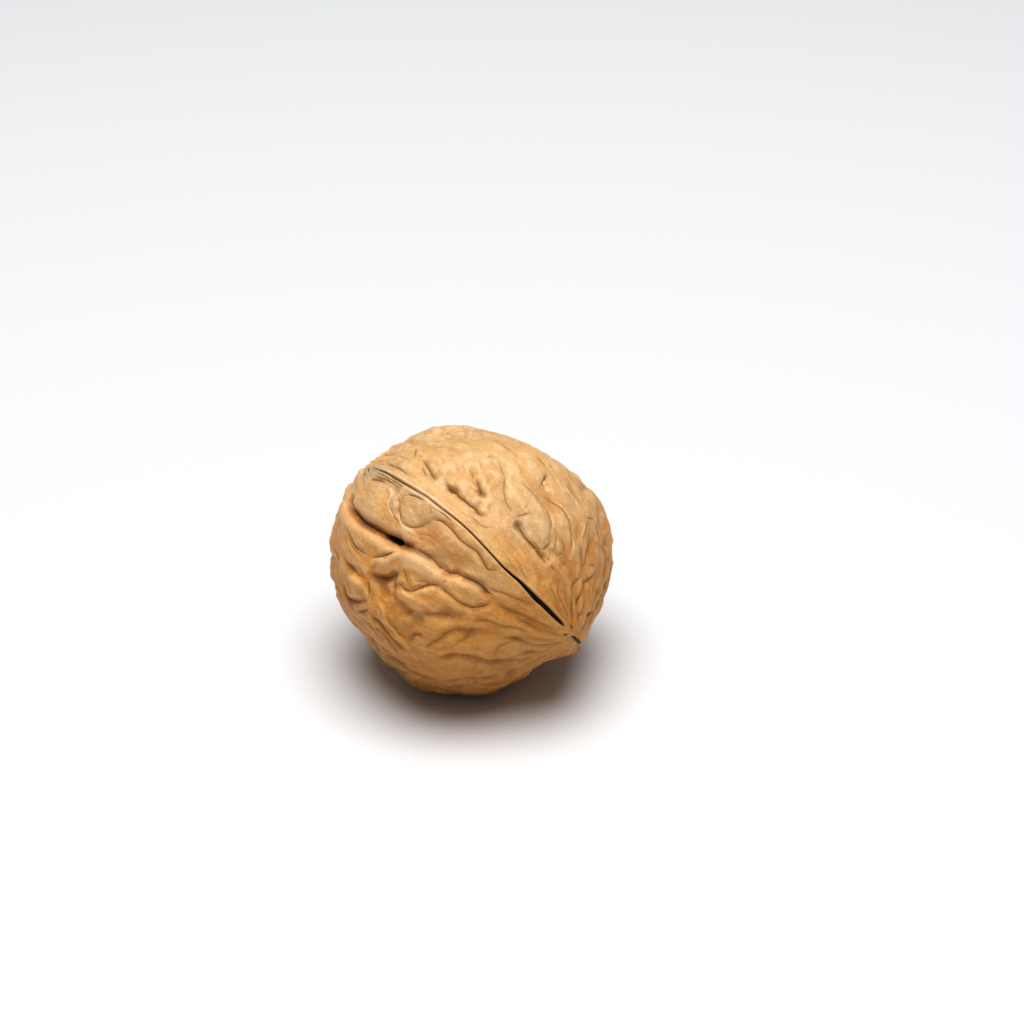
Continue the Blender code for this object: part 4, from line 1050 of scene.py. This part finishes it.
def seam_aligned(corners):
    """Turn a cube's surface points into directions, with the middle grid line on both seams."""
    spread = np.tan(corners * math.pi / 4.0)
    spread[:, 2] *= SEAM_SPACING + (1.0 - SEAM_SPACING) * spread[:, 2] ** 2
    directions = spread / np.linalg.norm(spread, axis=1, keepdims=True)
    seam = SEAM_LINE / half_lengths(SEAM_LINE)
    seam_turn = np.interp(directions[:, 0], seam[:, 0], np.arctan2(seam[:, 2], seam[:, 1]))
    radius = np.hypot(directions[:, 1], directions[:, 2])
    turn = np.arctan2(directions[:, 2], directions[:, 1])
    in_front = (0.5 + 0.5 * np.cos(turn)) ** 2
    behind = (0.5 - 0.5 * np.cos(turn)) ** 2
    turn = turn + seam_turn * in_front + back_seam_turn(directions[:, 0]) * behind
    return np.column_stack((directions[:, 0], radius * np.cos(turn), radius * np.sin(turn)))


def averaged(values, edges, rounds):
    """Values at the vertices, each round averaged with their neighbours."""
    first, second = edges[:, 0], edges[:, 1]
    count = np.bincount(first, minlength=len(values)) + np.bincount(second, minlength=len(values))
    for _ in range(rounds):
        total = np.bincount(first, values[second], len(values))
        total += np.bincount(second, values[first], len(values))
        values = 0.5 * values + 0.5 * total / count
    return values


def mesh_of(model, name):
    """A mesh made of a bmesh, which is freed."""
    mesh = bpy.data.meshes.new(name)
    model.to_mesh(mesh)
    model.free()
    return mesh


def cube_grid():
    """A cube's surface cut into an even grid of cells."""
    model = bmesh.new()
    bmesh.ops.create_cube(model, size=2.0)
    bmesh.ops.subdivide_edges(model, edges=model.edges[:], cuts=CELLS - 1, use_grid_fill=True)
    return mesh_of(model, "shell")


def plain_look(count):
    """What the surface shows at each point before anything is drawn there."""
    start = {"line_gap": SIDE_REACH, "next_gap": 2.0 * SIDE_REACH, "line_side": SIDE_REACH,
             "line_tone": 0.0, "crease_shade": 0.0, "crest": 0.0, "slit": 1.0, "slit_tone": BACK_CRACK_TONE}
    return {name: np.full(count, value) for name, value in start.items()}


def hollows(mesh, height):
    """How far each point lies below the form round it, and above the form close by."""
    edges = np.empty(2 * len(mesh.edges), dtype=np.int64)
    mesh.edges.foreach_get("vertices", edges)
    edges = edges.reshape(-1, 2)
    near = averaged(height, edges, NEAR_ROUNDS)
    return averaged(near, edges, FAR_ROUNDS) - near, height - near


def build_shell():
    """The walnut's shell. Its look is kept in attributes, one number a vertex."""
    mesh = cube_grid()
    corners = np.empty(3 * len(mesh.vertices))
    mesh.vertices.foreach_get("co", corners)
    directions = seam_aligned(corners.reshape(-1, 3))
    points, normals = plain_body(directions)
    look = plain_look(len(points))
    height = relief(points, normals, directions, look)
    surface = (points + normals * height[:, None]) @ resting_axes() + np.array(SHELL_MIDDLE)
    surface[:, 2] = np.maximum(surface[:, 2], 0.0)
    mesh.vertices.foreach_set("co", (surface * MILLIMETRE).ravel())
    # The material paints shade into the hollows and highlight onto the raised edges from these
    look["hollow"], look["edge"] = hollows(mesh, height)
    look["station"] = points[:, 0]
    look["turn"] = np.arctan2(directions[:, 2], directions[:, 1])
    del look["line_gap"], look["next_gap"]
    for name, values in look.items():
        attribute = mesh.attributes.new(name, "FLOAT", "POINT")
        attribute.data.foreach_set("value", values.astype(np.float32))
    mesh.shade_smooth()
    return bpy.data.objects.new("shell", mesh)


class Weave:
    """Adds nodes to a material, each joined to the ones before it."""

    def __init__(self, material):
        self.tree = material.node_tree

    def node(self, kind, inputs=None, **settings):
        """A node with its settings, and its inputs joined or given values by name or place."""
        made = self.tree.nodes.new(kind)
        for name, value in settings.items():
            setattr(made, name, value)
        for name, value in (inputs or {}).items():
            if isinstance(value, bpy.types.NodeSocket):
                self.tree.links.new(value, made.inputs[name])
            else:
                made.inputs[name].default_value = value
        return made

    def attribute(self, name):
        """The number kept under a name."""
        return self.node("ShaderNodeAttribute", attribute_name=name).outputs["Fac"]

    def math(self, operation, first, second=0.0):
        """One step of arithmetic."""
        return self.node("ShaderNodeMath", {0: first, 1: second}, operation=operation).outputs[0]

    def times(self, first, second):
        """Two numbers multiplied."""
        return self.math("MULTIPLY", first, second)

    def ramp(self, value, low, high, start=0.0, end=1.0):
        """Value run smoothly from start at low to end at high."""
        inputs = {"Value": value, "From Min": low, "From Max": high, "To Min": start, "To Max": end}
        return self.node("ShaderNodeMapRange", inputs, interpolation_type="SMOOTHSTEP").outputs["Result"]

    def mix(self, share, first, second, blend="MIX"):
        """Two colours mixed."""
        inputs = {0: share, 6: first, 7: second}
        return self.node("ShaderNodeMix", inputs, data_type="RGBA", blend_type=blend).outputs[2]

    def noise(self, vector, scale, detail, roughness, distortion):
        """Noise from 0 to 1."""
        inputs = {"Vector": vector, "Scale": scale, "Detail": detail, "Roughness": roughness,
                  "Distortion": distortion}
        return self.node("ShaderNodeTexNoise", inputs).outputs["Fac"]


def shell_patterns(weave):
    """The numbers that the material follows, by name, with the height above the ground in millimetres."""
    place = weave.node("ShaderNodeTexCoord").outputs["Object"]
    in_millimetres = (1.0 / MILLIMETRE,) * 3
    place = weave.node("ShaderNodeMapping", {"Vector": place, "Scale": in_millimetres}).outputs[0]
    turn = weave.attribute("turn")
    along = weave.node("ShaderNodeCombineXYZ", {
        "X": weave.times(weave.attribute("station"), ALONG_PITCH),
        "Y": weave.times(weave.math("SINE", turn), ROUND_PITCH),
        "Z": weave.times(weave.math("COSINE", turn), ROUND_PITCH)}).outputs[0]
    patterns = {name: weave.noise(along, *settings) for name, settings in ALONG_NOISES.items()}
    patterns.update((name, weave.noise(place, *settings)) for name, settings in SPACE_NOISES.items())
    patterns.update((name, weave.attribute(name)) for name in ("hollow", "edge", "crest"))
    patterns["above"] = weave.node("ShaderNodeSeparateXYZ", {0: place}).outputs["Z"]
    return patterns


def drawn_creases(weave):
    """How dark the drawn creases are, partly with their own brown and partly with painted shade."""
    dark = 0.0
    for name, (width, strength) in DRAWN_CREASES.items():
        gap = weave.math("DIVIDE", weave.attribute(name + "_side"), width)
        drop = weave.math("POWER", math.e, weave.times(weave.times(gap, gap), -1.0))
        tone = weave.times(weave.attribute(name + "_tone"), strength)
        dark = weave.math("MAXIMUM", dark, weave.times(drop, tone))
    return dark


def coated(weave, colour, patterns, coats):
    """Colour with coats over it."""
    for name, start, full, share, coat in coats:
        colour = weave.mix(weave.ramp(patterns[name], start, full, 0.0, share), colour, coat)
    return colour


def shell_colour(weave, patterns, dark):
    """The shell's colour, from its ground through stains, shades and painted light and shade to the
    creases, whose dark is partly painted shade, and the crack, whose dark is painted shade.
    """
    colour = coated(weave, PALE_TAN, patterns, GROUND_COATS)
    for name, share, coat in STROKE_COATS:
        colour = weave.mix(weave.times(weave.attribute(name), share), colour, coat)
    # Painted highlight on edges and crests over their paler colour
    colour = coated(weave, colour, patterns, PALE_AND_HIGHLIGHT_COATS)
    # Painted shade towards the ground, times random tone from the fibres and grit
    tone_and_painted_shade = 1.0
    for name, *bounds in TONES_AND_PAINTED_SHADE:
        tone_and_painted_shade = weave.times(tone_and_painted_shade, weave.ramp(patterns[name], *bounds))
    grey = weave.node("ShaderNodeCombineColor", {"Red": tone_and_painted_shade, "Green": tone_and_painted_shade, "Blue": tone_and_painted_shade}).outputs[0]
    # Painted light on top and painted shade low down
    painted_light_and_shade = weave.mix(weave.ramp(patterns["above"], *PAINTED_LIGHT_HEIGHTS), LOW_PAINTED_SHADE, TOP_PAINTED_LIGHT)
    for tone in (grey, painted_light_and_shade):
        colour = weave.mix(1.0, colour, tone, "MULTIPLY")
    colour = weave.mix(weave.attribute("brown"), colour, SHADOW_BROWN)
    # Dark crease lines: partly the shell's own brown, partly painted shade
    crease_brown_and_shade = weave.mix(weave.ramp(dark, *CREASE_DARK_BROWNS), LINE_ORANGE, LINE_BROWN)
    colour = weave.mix(weave.ramp(dark, *CREASE_DARK_SHOWS), colour, crease_brown_and_shade)
    # Painted shade inside the crack and the hole, and the dark spots
    slit = weave.times(weave.ramp(weave.attribute("slit"), *SLIT_EDGE), weave.attribute("slit_tone"))
    return weave.mix(slit, colour, SLIT_SHADE_AND_SPOT_BLACK)


def shell_bump(weave, patterns, dark):
    """Normals of the finest relief, too fine for the mesh."""
    bump = weave.times(dark, -DRAWN_DEPTH)
    for name, height in BUMPS.items():
        bump = weave.math("ADD", bump, weave.times(patterns[name], height))
    inputs = {"Height": bump, "Distance": MILLIMETRE, "Strength": 1.0}
    return weave.node("ShaderNodeBump", inputs).outputs[0]


def shell_material():
    """Dry, light brown shell with dark creases, pale crests and fine fibres along it, with painted light
    and shade.
    """
    material = bpy.data.materials.new("shell")
    material.use_nodes = True
    weave = Weave(material)
    patterns = shell_patterns(weave)
    dark = drawn_creases(weave)
    rough = weave.ramp(patterns["patch"], *ROUGHNESS)
    rough = weave.math("ADD", rough, weave.times(dark, CREASE_ROUGHNESS))
    shader = material.node_tree.nodes["Principled BSDF"]
    shader.inputs["Specular IOR Level"].default_value = SPECULAR
    for name, value in (("Base Color", shell_colour(weave, patterns, dark)), ("Roughness", rough),
                        ("Normal", shell_bump(weave, patterns, dark))):
        material.node_tree.links.new(value, shader.inputs[name])
    return material


def build_floor():
    """The plain pale floor."""
    model = bmesh.new()
    bmesh.ops.create_grid(model, x_segments=1, y_segments=1, size=0.5 * FLOOR_SIZE * MILLIMETRE)
    mesh = mesh_of(model, "floor")
    material = bpy.data.materials.new("floor")
    material.use_nodes = True
    shader = material.node_tree.nodes["Principled BSDF"]
    shader.inputs["Base Color"].default_value = FLOOR_COLOUR
    shader.inputs["Roughness"].default_value = FLOOR_ROUGHNESS
    mesh.materials.append(material)
    return bpy.data.objects.new("floor", mesh)


def add_light():
    """Plain soft studio light from above, with a pale room round it."""
    data = bpy.data.lights.new("softbox", "AREA")
    data.shape = "DISK"
    data.size = LAMP_SIZE * MILLIMETRE
    data.energy = LAMP_WATTS
    lamp = bpy.data.objects.new("softbox", data)
    heading = Vector((math.sin(VIEW_AZIMUTH) * math.sin(LAMP_LEAN),
                      -math.cos(VIEW_AZIMUTH) * math.sin(LAMP_LEAN), math.cos(LAMP_LEAN)))
    lamp.location = heading * LAMP_DISTANCE * MILLIMETRE
    lamp.rotation_euler = heading.to_track_quat("Z", "Y").to_euler()
    bpy.context.scene.collection.objects.link(lamp)
    world = bpy.data.worlds.new("studio")
    bpy.context.scene.world = world
    world.use_nodes = True
    background = world.node_tree.nodes["Background"]
    background.inputs["Color"].default_value = (1.0, 1.0, 1.0, 1.0)
    background.inputs["Strength"].default_value = WORLD_STRENGTH


def add_camera():
    """The camera at the photograph's viewing angle."""
    axes = view_axes()
    data = bpy.data.cameras.new("camera")
    data.lens = LENS
    data.sensor_width = SENSOR
    camera = bpy.data.objects.new("camera", data)
    place = np.array(SHELL_MIDDLE) + np.array((AIM_RIGHT, AIM_UP, VIEW_DISTANCE)) @ axes
    turn = Matrix(axes.T.tolist()).to_4x4()
    camera.matrix_world = Matrix.Translation(Vector(place * MILLIMETRE)) @ turn
    bpy.context.scene.collection.objects.link(camera)
    bpy.context.scene.camera = camera


add_camera()
add_light()
bpy.context.scene.view_settings.view_transform = "Standard"
bpy.context.scene.view_settings.gamma = GAMMA

shell = build_shell()
shell.data.materials.append(shell_material())
bpy.context.scene.collection.objects.link(shell)
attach(shell, "root")
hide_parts("walnut")

floor = build_floor()
bpy.context.scene.collection.objects.link(floor)
